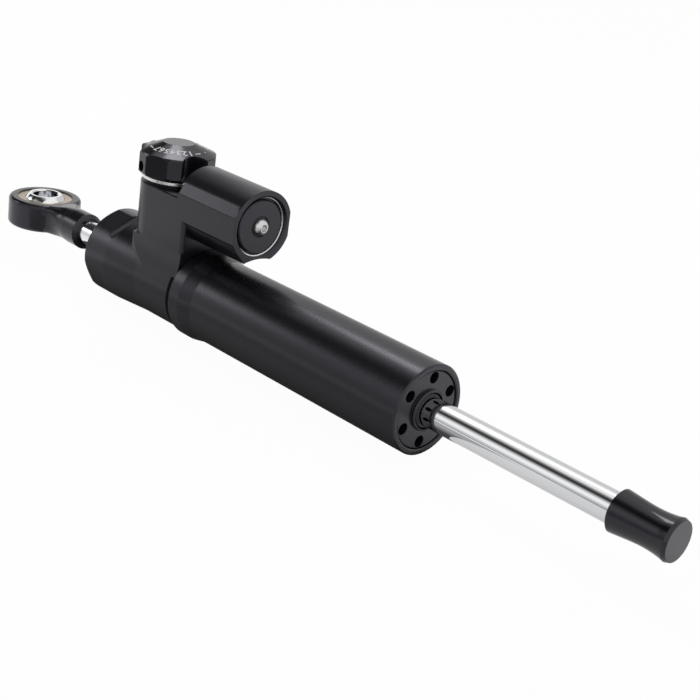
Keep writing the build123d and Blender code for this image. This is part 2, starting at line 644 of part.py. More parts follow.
def barrel_panels():
    """A flat along both upper sides, stopped by the end collar."""
    x0 = BARREL_LEFT_X
    x1 = BARREL_FRONT_X - BARREL_COLLAR
    floor = BARREL_R - PANEL_DEPTH
    far = 2 * BARREL_R
    places = ((PANEL_TOP_DEG, floor), (PANEL_BOTTOM_DEG, floor))
    places += ((PANEL_BOTTOM_DEG, far), (PANEL_TOP_DEG, far))
    panels = []
    for hand in (-1, 1):
        corners = []
        for degrees, r in places:
            angle = math.radians(degrees)
            corners.append((hand * r * math.sin(angle), r * math.cos(angle)))
        section = Plane.YZ * make_face(Polyline(*corners, close=True))
        panels.append(Pos(x0, 0, BARREL_AXIS_Z) * extrude(section, x1 - x0, dir=(1, 0, 0)))
    return panels


def barrel_bores():
    """The reservoir's bore, snap ring groove and mouth."""
    groove_r = BARREL_BORE_R + SNAP_GROOVE_DEPTH
    outline = [
        (BARREL_BORE_BACK_X, 0.0),
        (BARREL_BORE_BACK_X, BARREL_BORE_R),
        (SNAP_X - SNAP_WIRE_R, BARREL_BORE_R),
        (SNAP_X - SNAP_WIRE_R, groove_r),
        (SNAP_X + SNAP_WIRE_R, groove_r),
        (SNAP_X + SNAP_WIRE_R, BARREL_BORE_R),
        (BARREL_FRONT_X - MOUTH_CHAMFER, BARREL_BORE_R),
        (BARREL_FRONT_X, BARREL_BORE_R + MOUTH_CHAMFER),
        (BARREL_FRONT_X + 1, BARREL_BORE_R + MOUTH_CHAMFER),
        (BARREL_FRONT_X + 1, 0.0),
    ]
    return turned(outline, BARREL_AXIS)


def oil_passages():
    """Valve bore in the boss and the three drillings that meet in it."""
    valve = post(CARTRIDGE_BOTTOM_Z, BOSS_TOP_Z + 1, CARTRIDGE_R + SEAT_GAP)
    valve += post(VALVE_SEAT_Z, CARTRIDGE_BOTTOM_Z + 1, VALVE_CHAMBER_R)
    valve += needle_key(VALVE_SEAT_Z, CARTRIDGE_BOTTOM_Z + 1, SLIDING_GAP)
    valve += post(VALVE_POCKET_Z, VALVE_SEAT_Z + 1, VALVE_SEAT_R)
    valve += bar(BOSS_X, CHAMBER_BACK_X + 1, CHAMBER_PASSAGE_R, (0.0, CHAMBER_PASSAGE_Z))
    valve += bar(BOSS_X, SPIGOT_END_X + 1, RETURN_PASSAGE_R, (0.0, RETURN_PASSAGE_Z))
    inlet_z = BARREL_AXIS_Z - BARREL_BORE_R + 2 * RESERVOIR_PASSAGE_R + 1
    inlet = (BARREL_BORE_BACK_X + 1, 0.0, inlet_z)
    outlet = (BOSS_X + VALVE_CHAMBER_R - 2, 0.0, inlet_z - RESERVOIR_PASSAGE_DROP)
    return valve + drilled(inlet, outlet, RESERVOIR_PASSAGE_R)


def needle_key(z0, z1, gap):
    """Lug that keeps the needle from turning, or with a gap the slot for it."""
    reach = VALVE_CHAMBER_R + NEEDLE_KEY_REACH + gap
    block = Box(reach, NEEDLE_KEY_WIDTH + 2 * gap, z1 - z0, align=(Align.MAX, Align.CENTER, Align.MIN))
    return Pos(BOSS_X, 0, z0) * block


def make_head_block():
    body = head_turning()
    for flat in head_flats():
        body -= flat
    body = soften_boss(body + boss_block())
    body += boss_flare()
    for groove in head_reliefs():
        body -= groove
    body += barrel_body()
    body -= head_rod_bores()
    body -= barrel_bores()
    body -= oil_passages()
    body -= detent_hole()
    groove = o_ring_groove(head_o_ring_x(), THREAD_BORE_R, ROD_AXIS, THIN_O_RING_WIRE_R, THIN_O_RING_WIDTH)
    return body - groove


def soften_boss(body):
    """Blend the boss's round foot into the head, then round its corners and break its top edge."""
    top = body.edges().filter_by(lambda e: e.center().Z < HEAD_END_R and e.center().Z > SPIGOT_R / 2)
    foot = top.filter_by(lambda e: math.hypot(e.center().X - BOSS_X, e.center().Y) < BOSS_R + 0.1)
    left_foot = foot.filter_by(lambda e: e.center().X < BOSS_X)
    body = fillet(left_foot, BOSS_FOOT_FILLET)
    uprights = body.edges().filter_by(Axis.Z)
    corners = uprights.filter_by(lambda e: e.center().Z > HEAD_END_R and abs(e.center().X - JOINT_X) < 0.1)
    body = fillet(corners, BOSS_EDGE_FILLET)
    return chamfer(body.faces().sort_by(Axis.Z)[-1].edges(), BOSS_TOP_CHAMFER)


def head_o_ring_x():
    return SPIGOT_END_X - O_RING_WIDTH


def make_reservoir_end_plate():
    outline = [
        (PLATE_BACK_X, FILL_BORE_R),
        (PLATE_BACK_X, PLATE_R),
        (PLATE_FLANGE_FRONT_X, PLATE_R),
        (PLATE_FLANGE_FRONT_X, PLATE_FACE_R),
        (PLATE_FACE_X - EDGE_BREAK, PLATE_FACE_R),
        (PLATE_FACE_X, PLATE_FACE_R - EDGE_BREAK),
        (PLATE_FACE_X, FILL_SPOT_R),
        (FILL_SPOT_X, FILL_SPOT_R),
        (FILL_SPOT_X, FILL_BORE_R),
    ]
    plate = turned(outline, BARREL_AXIS)
    return plate - o_ring_groove(end_plate_o_ring_x(), BARREL_BORE_R, BARREL_AXIS)


def end_plate_o_ring_x():
    return (PLATE_BACK_X + PLATE_FLANGE_FRONT_X) / 2


def make_snap_ring():
    ring_r = BARREL_BORE_R + SNAP_GROOVE_DEPTH - SNAP_WIRE_R
    section = Pos(SNAP_X, ring_r) * Circle(SNAP_WIRE_R - SEAT_GAP / 2)
    ring = Pos(0, BARREL_AXIS[0], BARREL_AXIS[1]) * revolve(section, axis=Axis.X)
    x0 = SNAP_X - 2 * SNAP_WIRE_R
    x1 = SNAP_X + 2 * SNAP_WIRE_R
    return slotted(ring, x0, x1, BARREL_R, SNAP_MOUTH_DEG, SNAP_MOUTH_AT_DEG, BARREL_AXIS)


def make_fill_screw_washer():
    front = FILL_SPOT_X + FILL_WASHER_THICKNESS
    return sleeve(FILL_SPOT_X, front, FILL_WASHER_R, FILL_BORE_R + SEAT_GAP, BARREL_AXIS)


def make_fill_screw():
    tip = FILL_HEAD_X - FILL_SCREW_LENGTH
    front = FILL_HEAD_X + FILL_HEAD_HEIGHT
    shank_r = FILL_BORE_R - SEAT_GAP
    head_mid = (FILL_HEAD_X + 0.62 * FILL_HEAD_HEIGHT, 0.86 * FILL_HEAD_R)
    lines = Polyline(
        (front, 0.0),
        (tip, 0.0),
        (tip, shank_r - EDGE_BREAK),
        (tip + EDGE_BREAK, shank_r),
        (FILL_HEAD_X, shank_r),
        (FILL_HEAD_X, FILL_HEAD_R),
    )
    dome = ThreePointArc((FILL_HEAD_X, FILL_HEAD_R), head_mid, (front, 0.5 * FILL_HEAD_R))
    flat = Line((front, 0.5 * FILL_HEAD_R), (front, 0.0))
    screw = revolve(make_face(lines + dome + flat), axis=Axis.X)
    socket = Plane.YZ * RegularPolygon(FILL_SOCKET_R, 6)
    socket = Pos(front - FILL_SOCKET_DEPTH, 0, 0) * extrude(socket, FILL_SOCKET_DEPTH + 1, dir=(1, 0, 0))
    return Pos(0, BARREL_AXIS[0], BARREL_AXIS[1]) * (screw - socket)


def make_reservoir_piston():
    front = FLOAT_X + FLOAT_LENGTH
    outer = BARREL_BORE_R - SLIDING_GAP
    outline = [
        (FLOAT_X, 0.0),
        (FLOAT_X, outer - EDGE_BREAK),
        (FLOAT_X + EDGE_BREAK, outer),
        (front - EDGE_BREAK, outer),
        (front, outer - EDGE_BREAK),
        (front, FLOAT_CUP_R),
        (front - FLOAT_CUP_DEPTH, FLOAT_CUP_R),
        (front - FLOAT_CUP_DEPTH, 0.0),
    ]
    piston = turned(outline, BARREL_AXIS)
    return piston - o_ring_groove(reservoir_piston_o_ring_x(), BARREL_BORE_R - SLIDING_GAP, BARREL_AXIS)


def reservoir_piston_o_ring_x():
    return FLOAT_X + FLOAT_LENGTH / 2


def make_adjuster_cartridge():
    outline = [
        (STEM_R + SLIDING_GAP, CARTRIDGE_SHOULDER_Z),
        (STEM_FLANGE_R + SLIDING_GAP, CARTRIDGE_SHOULDER_Z),
        (STEM_FLANGE_R + SLIDING_GAP, CARTRIDGE_BOTTOM_Z),
        (CARTRIDGE_R, CARTRIDGE_BOTTOM_Z),
        (CARTRIDGE_R, BOSS_TOP_Z),
        (CARTRIDGE_FLANGE_R, BOSS_TOP_Z),
        (CARTRIDGE_FLANGE_R, CARTRIDGE_TOP_Z),
        (STEM_R + SLIDING_GAP, CARTRIDGE_TOP_Z),
    ]
    z = cartridge_o_ring_z()
    seat = CARTRIDGE_R + SEAT_GAP
    groove = upright_ring(z - O_RING_WIDTH / 2, z + O_RING_WIDTH / 2, seat + 1, seat - 2 * O_RING_WIRE_R)
    return upright(outline) - groove - detent_hole()


def upright_ring(z0, z1, outer, inner):
    return upright([(inner, z0), (outer, z0), (outer, z1), (inner, z1)])


def upright_o_ring(z, seat_r, wire_r=O_RING_WIRE_R):
    section = Plane.XZ * (Pos(seat_r - wire_r, z) * Circle(wire_r - SEAT_GAP / 2))
    return Pos(BOSS_X, 0, 0) * revolve(section, axis=Axis.Z)


def cartridge_o_ring_z():
    return CARTRIDGE_BOTTOM_Z + O_RING_WIDTH


def stem_o_ring_z():
    return CARTRIDGE_SHOULDER_Z + O_RING_WIDTH


def detent_spot():
    angle = math.radians(DETENT_AT_DEG)
    return (BOSS_X + CLICK_PITCH_R * math.cos(angle), CLICK_PITCH_R * math.sin(angle))


def detent_hole():
    """Blind hole for the detent's spring and ball, through the ring and the flange into the boss."""
    x, y = detent_spot()
    return post(BOSS_TOP_Z - DETENT_HOLE_DEPTH, KNOB_BOTTOM_Z, DETENT_HOLE_R, x, y)


def make_click_ring():
    outline = [
        (CLICK_RING_BORE_R, CARTRIDGE_TOP_Z),
        (CLICK_RING_R - EDGE_BREAK, CARTRIDGE_TOP_Z),
        (CLICK_RING_R, CARTRIDGE_TOP_Z + EDGE_BREAK),
        (CLICK_RING_R, CLICK_RING_TOP_Z - EDGE_BREAK),
        (CLICK_RING_R - EDGE_BREAK, CLICK_RING_TOP_Z),
        (CLICK_RING_BORE_R, CLICK_RING_TOP_Z),
    ]
    return upright(outline) - detent_hole()


def make_detent_ball():
    x, y = detent_spot()
    return Pos(x, y, DETENT_BALL_Z) * Sphere(DETENT_BALL_R)


def make_detent_spring():
    x, y = detent_spot()
    bottom = BOSS_TOP_Z - DETENT_HOLE_DEPTH
    top = DETENT_BALL_Z - DETENT_BALL_R
    return post(bottom, top, DETENT_SPRING_R, x, y) - post(bottom, top, DETENT_SPRING_R - DETENT_SPRING_WALL, x, y)


def knob_scallop(i):
    """One finger scallop: an upright round cut that bites SCALLOP_DEPTH into the rim."""
    angle = math.radians(KNOB_FIRST_SCALLOP_DEG + 360.0 * i / KNOB_SCALLOPS)
    reach = KNOB_R - SCALLOP_DEPTH + SCALLOP_R
    x = BOSS_X + reach * math.cos(angle)
    y = reach * math.sin(angle)
    return post(KNOB_BOTTOM_Z - 1, KNOB_TOP_Z + 1, SCALLOP_R, x, y)


def knob_flats():
    """Three flats on each lobe between the scallops."""
    cuts = []
    side = (KNOB_SIDE_FLAT_DEG, KNOB_SIDE_FLAT_DEPTH)
    places = (side, (0.0, KNOB_FLAT_DEPTH), (-KNOB_SIDE_FLAT_DEG, KNOB_SIDE_FLAT_DEPTH))
    block = Box(KNOB_R, 3 * KNOB_R, 3 * KNOB_R, align=(Align.MIN, Align.CENTER, Align.CENTER))
    for i in range(KNOB_SCALLOPS):
        for offset, depth in places:
            flat = Rot(0, 0, knob_lobe_deg(i) + offset) * Pos(KNOB_R - depth, 0, KNOB_RIM_Z) * block
            cuts.append(Pos(BOSS_X, 0, 0) * flat)
    return cuts


def knob_lobe_deg(i):
    return KNOB_FIRST_SCALLOP_DEG + 360.0 * (i + 0.5) / KNOB_SCALLOPS


def make_adjuster_knob():
    outline = [
        (0.0, STEM_TOP_Z),
        (STEM_R + SEAT_GAP, STEM_TOP_Z),
        (STEM_R + SEAT_GAP, KNOB_BOTTOM_Z),
        (KNOB_R - KNOB_EDGE, KNOB_BOTTOM_Z),
        (KNOB_R, KNOB_BOTTOM_Z + KNOB_EDGE),
        (KNOB_R, KNOB_RIM_Z - KNOB_RIM_BEVEL),
        (KNOB_R - KNOB_RIM_BEVEL_WIDTH, KNOB_RIM_Z),
        (KNOB_TOP_R, KNOB_TOP_Z),
        (0.0, KNOB_TOP_Z),
    ]
    knob = upright(outline)
    for cut in knob_flats():
        knob -= cut
    for i in range(KNOB_SCALLOPS):
        knob -= knob_scallop(i)
    knob -= knob_click_dimples()
    return knob - grub_hole()


def knob_click_dimples():
    """Shallow dimples in the knob's underside, one for each click."""
    dimples = []
    sink = 0.7 * DETENT_BALL_R
    for i in range(CLICK_COUNT):
        angle = math.radians(DETENT_AT_DEG + 360.0 * i / CLICK_COUNT)
        x = BOSS_X + CLICK_PITCH_R * math.cos(angle)
        y = CLICK_PITCH_R * math.sin(angle)
        dimples.append(Pos(x, y, KNOB_BOTTOM_Z - sink) * Sphere(DETENT_BALL_R))
    return dimples


def grub_direction():
    """The grub screw sits in a narrow flat of the last lobe."""
    angle = math.radians(knob_lobe_deg(KNOB_SCALLOPS - 1) - KNOB_SIDE_FLAT_DEG)
    return (math.cos(angle), math.sin(angle))


def radial_hole(r0, r1, radius):
    ux, uy = grub_direction()
    start = (BOSS_X + r0 * ux, r0 * uy, GRUB_Z)
    end = (BOSS_X + r1 * ux, r1 * uy, GRUB_Z)
    return drilled(start, end, radius)


def grub_hole():
    inner = radial_hole(STEM_R - 0.5, KNOB_R + 1, GRUB_HOLE_R)
    return inner + radial_hole(STEM_R + GRUB_LENGTH + 0.5, KNOB_R + 1, GRUB_MOUTH_R)


def make_knob_grub_screw():
    screw = radial_hole(STEM_R, STEM_R + GRUB_LENGTH, GRUB_R)
    ux, uy = grub_direction()
    r0 = STEM_R + GRUB_LENGTH - GRUB_HEX_DEPTH
    plane = Plane(origin=(BOSS_X + r0 * ux, r0 * uy, GRUB_Z), z_dir=(ux, uy, 0))
    return screw - extrude(plane * RegularPolygon(GRUB_HEX_R, 6), GRUB_HEX_DEPTH + 1)


def make_adjuster_stem():
    flange_top = CARTRIDGE_SHOULDER_Z - SLIDING_GAP
    tail_bottom = flange_top - STEM_FLANGE - STEM_TAIL_LENGTH
    outline = [
        (0.0, tail_bottom),
        (STEM_TAIL_R, tail_bottom),
        (STEM_TAIL_R, flange_top - STEM_FLANGE),
        (STEM_FLANGE_R, flange_top - STEM_FLANGE),
        (STEM_FLANGE_R, flange_top),
        (STEM_R, flange_top),
        (STEM_R, STEM_TOP_Z),
        (0.0, STEM_TOP_Z),
    ]
    stem = upright(outline)
    z = stem_o_ring_z()
    seat = STEM_R + SLIDING_GAP
    half = THIN_O_RING_WIDTH / 2
    stem -= upright_ring(z - half, z + half, seat + 1, seat - 2 * THIN_O_RING_WIRE_R)
    top = NEEDLE_TOP_Z + NEEDLE_PITCH * KNOB_TURNS / 2 + 1
    return stem - post(tail_bottom - 1, top, NEEDLE_R + SLIDING_GAP)


def make_stem_o_ring():
    """It turns with the stem, so it stays just inside the stem's own radius."""
    return upright_o_ring(stem_o_ring_z(), STEM_R + SLIDING_GAP / 2, THIN_O_RING_WIRE_R)


def make_metering_needle():
    guide_r = VALVE_CHAMBER_R - SLIDING_GAP
    outline = [
        (0.0, NEEDLE_TIP_Z),
        (NEEDLE_TIP_R, NEEDLE_TIP_Z),
        (NEEDLE_R, NEEDLE_TIP_Z + NEEDLE_TIP_LENGTH),
        (NEEDLE_R, NEEDLE_GUIDE_Z),
        (guide_r, NEEDLE_GUIDE_Z),
        (guide_r, NEEDLE_GUIDE_Z + NEEDLE_GUIDE),
        (NEEDLE_R, NEEDLE_GUIDE_Z + NEEDLE_GUIDE),
        (NEEDLE_R, NEEDLE_TOP_Z),
        (0.0, NEEDLE_TOP_Z),
    ]
    slab = Box(4 * guide_r, NEEDLE_FLATS, 4 * NEEDLE_TOP_Z)
    needle = upright(outline) & (Pos(BOSS_X, 0, NEEDLE_TIP_Z) * slab)
    return needle + needle_key(NEEDLE_GUIDE_Z, NEEDLE_GUIDE_Z + NEEDLE_GUIDE, 0.0)


def neck_fillet_x():
    """Where the plan fillet between eye and neck ends, counted from the eye's axis."""
    return math.sqrt((EYE_R + NECK_FILLET_R) ** 2 - (NECK_R + NECK_FILLET_R) ** 2)


def neck_half_width(x):
    """Half width of the forged neck in plan, x counted from the eye's axis."""
    end = neck_fillet_x()
    touch = EYE_R * end / (EYE_R + NECK_FILLET_R)
    if x <= touch:
        return math.sqrt(EYE_R ** 2 - x ** 2) - SEAT_GAP
    if x <= end:
        return NECK_R + NECK_FILLET_R - math.sqrt(NECK_FILLET_R ** 2 - (end - x) ** 2)
    share = (x - end) / (EYE_FROM_SHANK - end)
    return NECK_R + (SHANK_R - SEAT_GAP - NECK_R) * smooth_step(share)


def smooth_step(share):
    return share * share * (3 - 2 * share)


def neck_section(x, half_width, half_height, squareness):
    """One section of the neck, between a rounded oblong and an ellipse."""
    points = []
    for k in range(NECK_POINTS):
        angle = 2 * math.pi * k / NECK_POINTS
        c, s = math.cos(angle), math.sin(angle)
        y = math.copysign(half_width * abs(c) ** (2 / squareness), c)
        z = math.copysign(half_height * abs(s) ** (2 / squareness), s)
        points.append((x, y, z))
    return Face(Wire(Spline(points, periodic=True)))


def rod_end_neck():
    """Forged neck: oblong sections at the eye that turn into the round shank."""
    start = EYE_R * neck_fillet_x() / (EYE_R + NECK_FILLET_R) - NECK_INTO_EYE
    low = EYE_THICKNESS / 2 - NECK_SHOULDER
    high = SHANK_R - SEAT_GAP
    sections = []
    for i in range(NECK_SECTIONS):
        share = i / (NECK_SECTIONS - 1)
        x = start + share * (EYE_FROM_SHANK - start)
        half_height = low + (high - low) * smooth_step(share)
        oval = smooth_step(min(1.0, share / NECK_SQUARE_SHARE))
        squareness = NECK_EYE_SQUARENESS + (2 - NECK_EYE_SQUARENESS) * oval
        sections.append(neck_section(EYE_X + x, neck_half_width(x), half_height, squareness))
    sections.append(neck_section(SHANK_BACK_X + NECK_INTO_SHANK, high, high, 2))
    return loft(sections)


def make_rod_end_body():
    eye = Pos(EYE_X, 0, 0) * Cylinder(EYE_R, EYE_THICKNESS)
    eye = fillet(eye.edges(), EYE_EDGE_FILLET)
    outline = [
        (SHANK_BACK_X, 0.0),
        (SHANK_BACK_X, SHANK_R),
        (SHANK_FRONT_X - SHANK_CHAMFER, SHANK_R),
        (SHANK_FRONT_X, SHANK_R - SHANK_CHAMFER),
        (SHANK_FRONT_X, 0.0),
    ]
    body = eye + rod_end_neck() + turned(outline)
    body -= Pos(EYE_X, 0, 0) * Cylinder(RACE_R + SEAT_GAP, 2 * EYE_THICKNESS)
    stud_bore_back = SHANK_FRONT_X - ROD_STUD_LENGTH - SHANK_BORE_SPARE
    return body - bar(stud_bore_back, SHANK_FRONT_X + 1, ROD_STUD_R + SEAT_GAP)


def make_rod_end_race():
    ring = Pos(EYE_X, 0, 0) * Cylinder(RACE_R, RACE_LENGTH)
    return ring - Pos(EYE_X, 0, 0) * Sphere(BALL_R + SLIDING_GAP)


def make_rod_end_ball():
    ball = Sphere(BALL_R) & Box(4 * BALL_R, 4 * BALL_R, BALL_WIDTH)
    ball -= Cylinder(BALL_BORE_R, 2 * BALL_WIDTH)
    rims = ball.edges().filter_by(GeomType.CIRCLE).filter_by(lambda e: e.radius < BALL_BORE_R + 0.01)
    return Pos(EYE_X, 0, 0) * chamfer(rims, BALL_BORE_CHAMFER)


def make_rod_cap():
    waist = (CAP_BACK_X + CAP_WAIST_AT, CAP_WAIST_R)
    rim = (CAP_BACK_X + CAP_RIM_AT, CAP_RIM_R)
    back = (CAP_BACK_X + EDGE_BREAK, CAP_BACK_R)
    side = Spline(back, waist, rim, tangents=((1, -0.08), (1, 0.25)))
    face = Polyline(rim, (CAP_FRONT_X, CAP_FACE_R), (CAP_FRONT_X, 0.0), (CAP_BACK_X, 0.0))
    mouth = Polyline((CAP_BACK_X, 0.0), (CAP_BACK_X, CAP_BACK_R - EDGE_BREAK), back)
    cap = revolve(make_face(side + face + mouth), axis=Axis.X)
    return cap - bar(CAP_BACK_X - 1, CAP_BACK_X + ROD_STUD_LENGTH + SHANK_BORE_SPARE, ROD_STUD_R + SEAT_GAP)


def all_parts():
    """Every node by name."""
    gland_groove_x = GLAND_FACE_X - GLAND_O_RING_FROM_FACE
    return {
        "outer_tube": make_outer_tube(),
        "inner_cylinder": make_inner_cylinder(),
        "head_block": make_head_block(),
        "front_gland": make_front_gland(),
        "front_bush": make_front_bush(),
        "rear_bush": make_rear_bush(),
        "front_rod_seal": make_front_rod_seal(),
        "rear_rod_seal": make_rear_rod_seal(),
        "front_wiper": make_front_wiper(),
        "rear_wiper": make_rear_wiper(),
        "front_bump_stop": make_front_bump_stop(),
        "rear_bump_stop": make_rear_bump_stop(),
        "gland_o_ring": o_ring_along(gland_groove_x, TUBE_BORE_R),
        "head_o_ring": o_ring_along(head_o_ring_x(), THREAD_BORE_R, ROD_AXIS, THIN_O_RING_WIRE_R),
        "piston_rod": make_piston_rod(),
        "piston": make_piston(),
        "piston_ring": make_piston_ring(),
        "piston_circlips": make_piston_circlips(),
        "rod_end_body": make_rod_end_body(),
        "rod_end_race": make_rod_end_race(),
        "rod_end_ball": make_rod_end_ball(),
        "rod_cap": make_rod_cap(),
        "reservoir_end_plate": make_reservoir_end_plate(),
        "end_plate_o_ring": o_ring_along(end_plate_o_ring_x(), BARREL_BORE_R, BARREL_AXIS),
        "snap_ring": make_snap_ring(),
        "fill_screw": make_fill_screw(),
        "fill_screw_washer": make_fill_screw_washer(),
        "reservoir_piston": make_reservoir_piston(),
        "reservoir_piston_o_ring": o_ring_along(
            reservoir_piston_o_ring_x(), BARREL_BORE_R - SLIDING_GAP, BARREL_AXIS
        ),
        "adjuster_cartridge": make_adjuster_cartridge(),
        "cartridge_o_ring": upright_o_ring(cartridge_o_ring_z(), CARTRIDGE_R + SEAT_GAP),
        "click_ring": make_click_ring(),
        "detent_ball": make_detent_ball(),
        "detent_spring": make_detent_spring(),
        "adjuster_knob": make_adjuster_knob(),
        "knob_grub_screw": make_knob_grub_screw(),
        "adjuster_stem": make_adjuster_stem(),
        "stem_o_ring": make_stem_o_ring(),
        "metering_needle": make_metering_needle(),
    }


os.makedirs("parts", exist_ok=True)
for name, shape in all_parts().items():
    export_step(shape, f"parts/{name}.step")
print("stroke", STROKE, "plain wall from", PLAIN_BACK_X, "to", PLAIN_FRONT_X)
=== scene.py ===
import json
import math

import bpy
from bpy.props import FloatProperty, FloatVectorProperty, IntProperty, PointerProperty
from mathutils import Matrix, Vector


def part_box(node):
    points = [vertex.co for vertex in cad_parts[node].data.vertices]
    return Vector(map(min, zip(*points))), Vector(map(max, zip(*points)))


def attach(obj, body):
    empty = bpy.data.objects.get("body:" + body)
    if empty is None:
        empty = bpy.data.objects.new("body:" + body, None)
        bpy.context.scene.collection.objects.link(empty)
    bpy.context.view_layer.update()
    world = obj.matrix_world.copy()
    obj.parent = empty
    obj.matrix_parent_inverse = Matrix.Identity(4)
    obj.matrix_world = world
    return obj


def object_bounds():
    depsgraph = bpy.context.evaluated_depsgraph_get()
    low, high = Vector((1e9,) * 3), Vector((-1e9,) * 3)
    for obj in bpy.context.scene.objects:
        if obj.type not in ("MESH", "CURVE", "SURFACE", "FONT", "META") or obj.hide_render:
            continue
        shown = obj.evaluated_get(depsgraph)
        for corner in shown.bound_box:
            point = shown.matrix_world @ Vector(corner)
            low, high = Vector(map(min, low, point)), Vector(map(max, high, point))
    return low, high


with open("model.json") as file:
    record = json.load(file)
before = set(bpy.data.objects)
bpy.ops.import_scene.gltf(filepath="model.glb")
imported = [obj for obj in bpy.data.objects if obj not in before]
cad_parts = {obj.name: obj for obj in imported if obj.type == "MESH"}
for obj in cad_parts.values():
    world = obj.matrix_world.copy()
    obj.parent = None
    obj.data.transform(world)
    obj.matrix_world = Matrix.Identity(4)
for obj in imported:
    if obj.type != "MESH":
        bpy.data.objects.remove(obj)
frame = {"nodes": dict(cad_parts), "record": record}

bl_info = {
    "name": "Steering Damper Looks",
    "version": (1, 0, 0),
    "blender": (4, 5, 0),
    "location": "3D View > Sidebar > Damper",
    "description": "Finishes, small trim, light and camera for a scooter's steering damper",
    "category": "Object",
}

CAD_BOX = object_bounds()
NODES = frame["nodes"]

# Places taken from the frame, in metres like every length here
STEM_LOW, STEM_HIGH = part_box("adjuster_stem")
KNOB_X = (STEM_LOW.x + STEM_HIGH.x) / 2
KNOB_TOP_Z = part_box("adjuster_knob")[1].z
JOINT_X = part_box("outer_tube")[0].x
GROUND_Z = CAD_BOX[0].z

# The knob's cone
CONE_TOP_R = 0.0058
CONE_RIM_R = 0.014
CONE_HEIGHT = 0.0033
CONE_SLOPE = math.atan2(CONE_HEIGHT, CONE_RIM_R - CONE_TOP_R)

# The marks on it: how far numbers stand inside and dashes outside the mark radius,
# a number's height as a share of its font size, how much its strokes swell as a share
# of a dash's width, and the steps of its curves
NUMERAL_INSET = 0.0004
DASH_OUTSET = 0.0002
NUMERAL_SHARE = 0.7
NUMERAL_SWELL = 1 / 8
NUMERAL_STEPS = 4

# Radius of a dash's round ends as a share of its width, and the steps of each corner
DASH_END_SHARE = 0.48
DASH_END_STEPS = 5

# Wall of the dark band that paints the shade in the seam between head and tube
SEAM_SHADE_WALL = 0.0003

# Sides of a full circle, and the turn that stands it across the X axis
ROUND_STEPS = 128
ACROSS_X = (0, math.pi / 2, 0)

# Points nearer than this are welded, and ends nearer than this count as one place
WELD_DISTANCE = 0.000002
SAME_PLACE = 1e-7

# Noise seldom leaves this range
NOISE_LOW = 0.3
NOISE_HIGH = 0.7

# How noise is drawn out: not at all, in rings round the X axis, or in lines along it
EVEN = (1.0, 1.0, 1.0)
TURNED = (6.0, 0.25, 0.25)
GROUND = (0.06, 1.0, 1.0)

# Half the spread of the anodised roughness, and how much more the milled pieces and
# how much less the knob has of it
ANODISED_SPREAD = 0.015
MILLED_SHIFT = 0.02
KNOB_SHIFT = -0.1

# Strength of the mirroring on dyed metal and on the band of painted seam shade
DYED_SPECULAR = 0.56
SEAM_SHADE_SPECULAR = 0.1

# The floor: its side, its drop under the object, its grey and its roughness, and how much
# of its own white it shows. The rest of it is lit and keeps the shadow.
FLOOR_SIDE = 6.0
FLOOR_DROP = 0.0005
FLOOR_GREY = 0.9
FLOOR_ROUGHNESS = 0.9
FLOOR_GLOW = 0.97

# Half a tube of grey cloth over the table in three lengths, seen by mirrors only. Each band
# has its angle over the horizon in degrees, from the front over the top to the back, and its grey.
TENT_R = 0.6
TENT_FOOT_Z = -0.04
TENT_ENDS_X = (-1.8, -0.62, -0.38, 0.1)
TENT_FAR = (
    (0, 0.75), (15, 0.75), (24, 0.95), (30, 1.0), (42, 1.0), (50, 0.4), (57, 0.06),
    (66, 0.03), (98, 0.04), (112, 0.06), (128, 0.12), (145, 1.0), (180, 1.0),
)
TENT_LEFT = (
    (0, 0.42), (8, 0.42), (18, 0.6), (28, 0.6), (40, 0.3), (48, 0.03), (68, 0.02),
    (78, 0.15), (90, 0.9), (120, 1.0), (138, 0.7), (155, 0.6), (180, 0.6),
)
TENT_RIGHT = (
    (0, 0.55), (8, 0.6), (18, 1.0), (32, 1.0), (40, 0.6), (47, 0.3), (54, 0.04),
    (64, 0.04), (75, 0.3), (86, 0.9), (120, 1.0), (140, 0.65), (180, 0.7),
)

# Three cloths on the table, likewise. Each band has its distance behind the X axis and its grey. The bands
# that darken near the X axis, right under the object, are a painted shadow of the object on the floor, as
# mirrors see it.
TABLE_REACH = 0.6
TABLE_DROP = 0.0002
TABLE_ENDS_X = (-1.0, -0.152, 0.055, 0.5)
TABLE_FAR_SHADE = ((-0.3, 0.5), (-0.1, 0.9), (-0.03, 0.9), (-0.02, 1.0), (0.3, 1.0))
TABLE_LEFT_SHADE = (
    (-0.3, 0.1), (-0.2, 0.15), (-0.16, 0.5), (-0.13, 1.0), (-0.1, 1.0), (-0.08, 0.6), (-0.06, 0.36),
    (-0.03, 0.42), (-0.018, 0.22), (-0.01, 0.06), (0.02, 0.06), (0.06, 0.5), (0.12, 1.0), (0.3, 1.0),
)
TABLE_RIGHT_SHADE = (
    (-0.3, 0.56), (-0.15, 0.6), (-0.1, 0.64), (-0.05, 0.75), (-0.015, 0.7), (0.0, 0.6),
    (0.025, 1.0), (0.3, 1.0),
)

# The lamps and their sides. The broad one looks straight down, the small one past the knob.
KEY_PLACE = (-0.338, 0.238, 0.55)
KEY_SIDES = (0.33, 0.25)
SIDE_PLACE = (-0.63, -0.4, 0.3)
SIDE_TARGET = (-0.06, 0, 0.04)
SIDE_SIDES = (0.25, 0.16)

# The camera's sensor in millimetres, and the nearest thing that it shows
SENSOR_WIDTH = 36.0
CAMERA_NEAR = 0.01


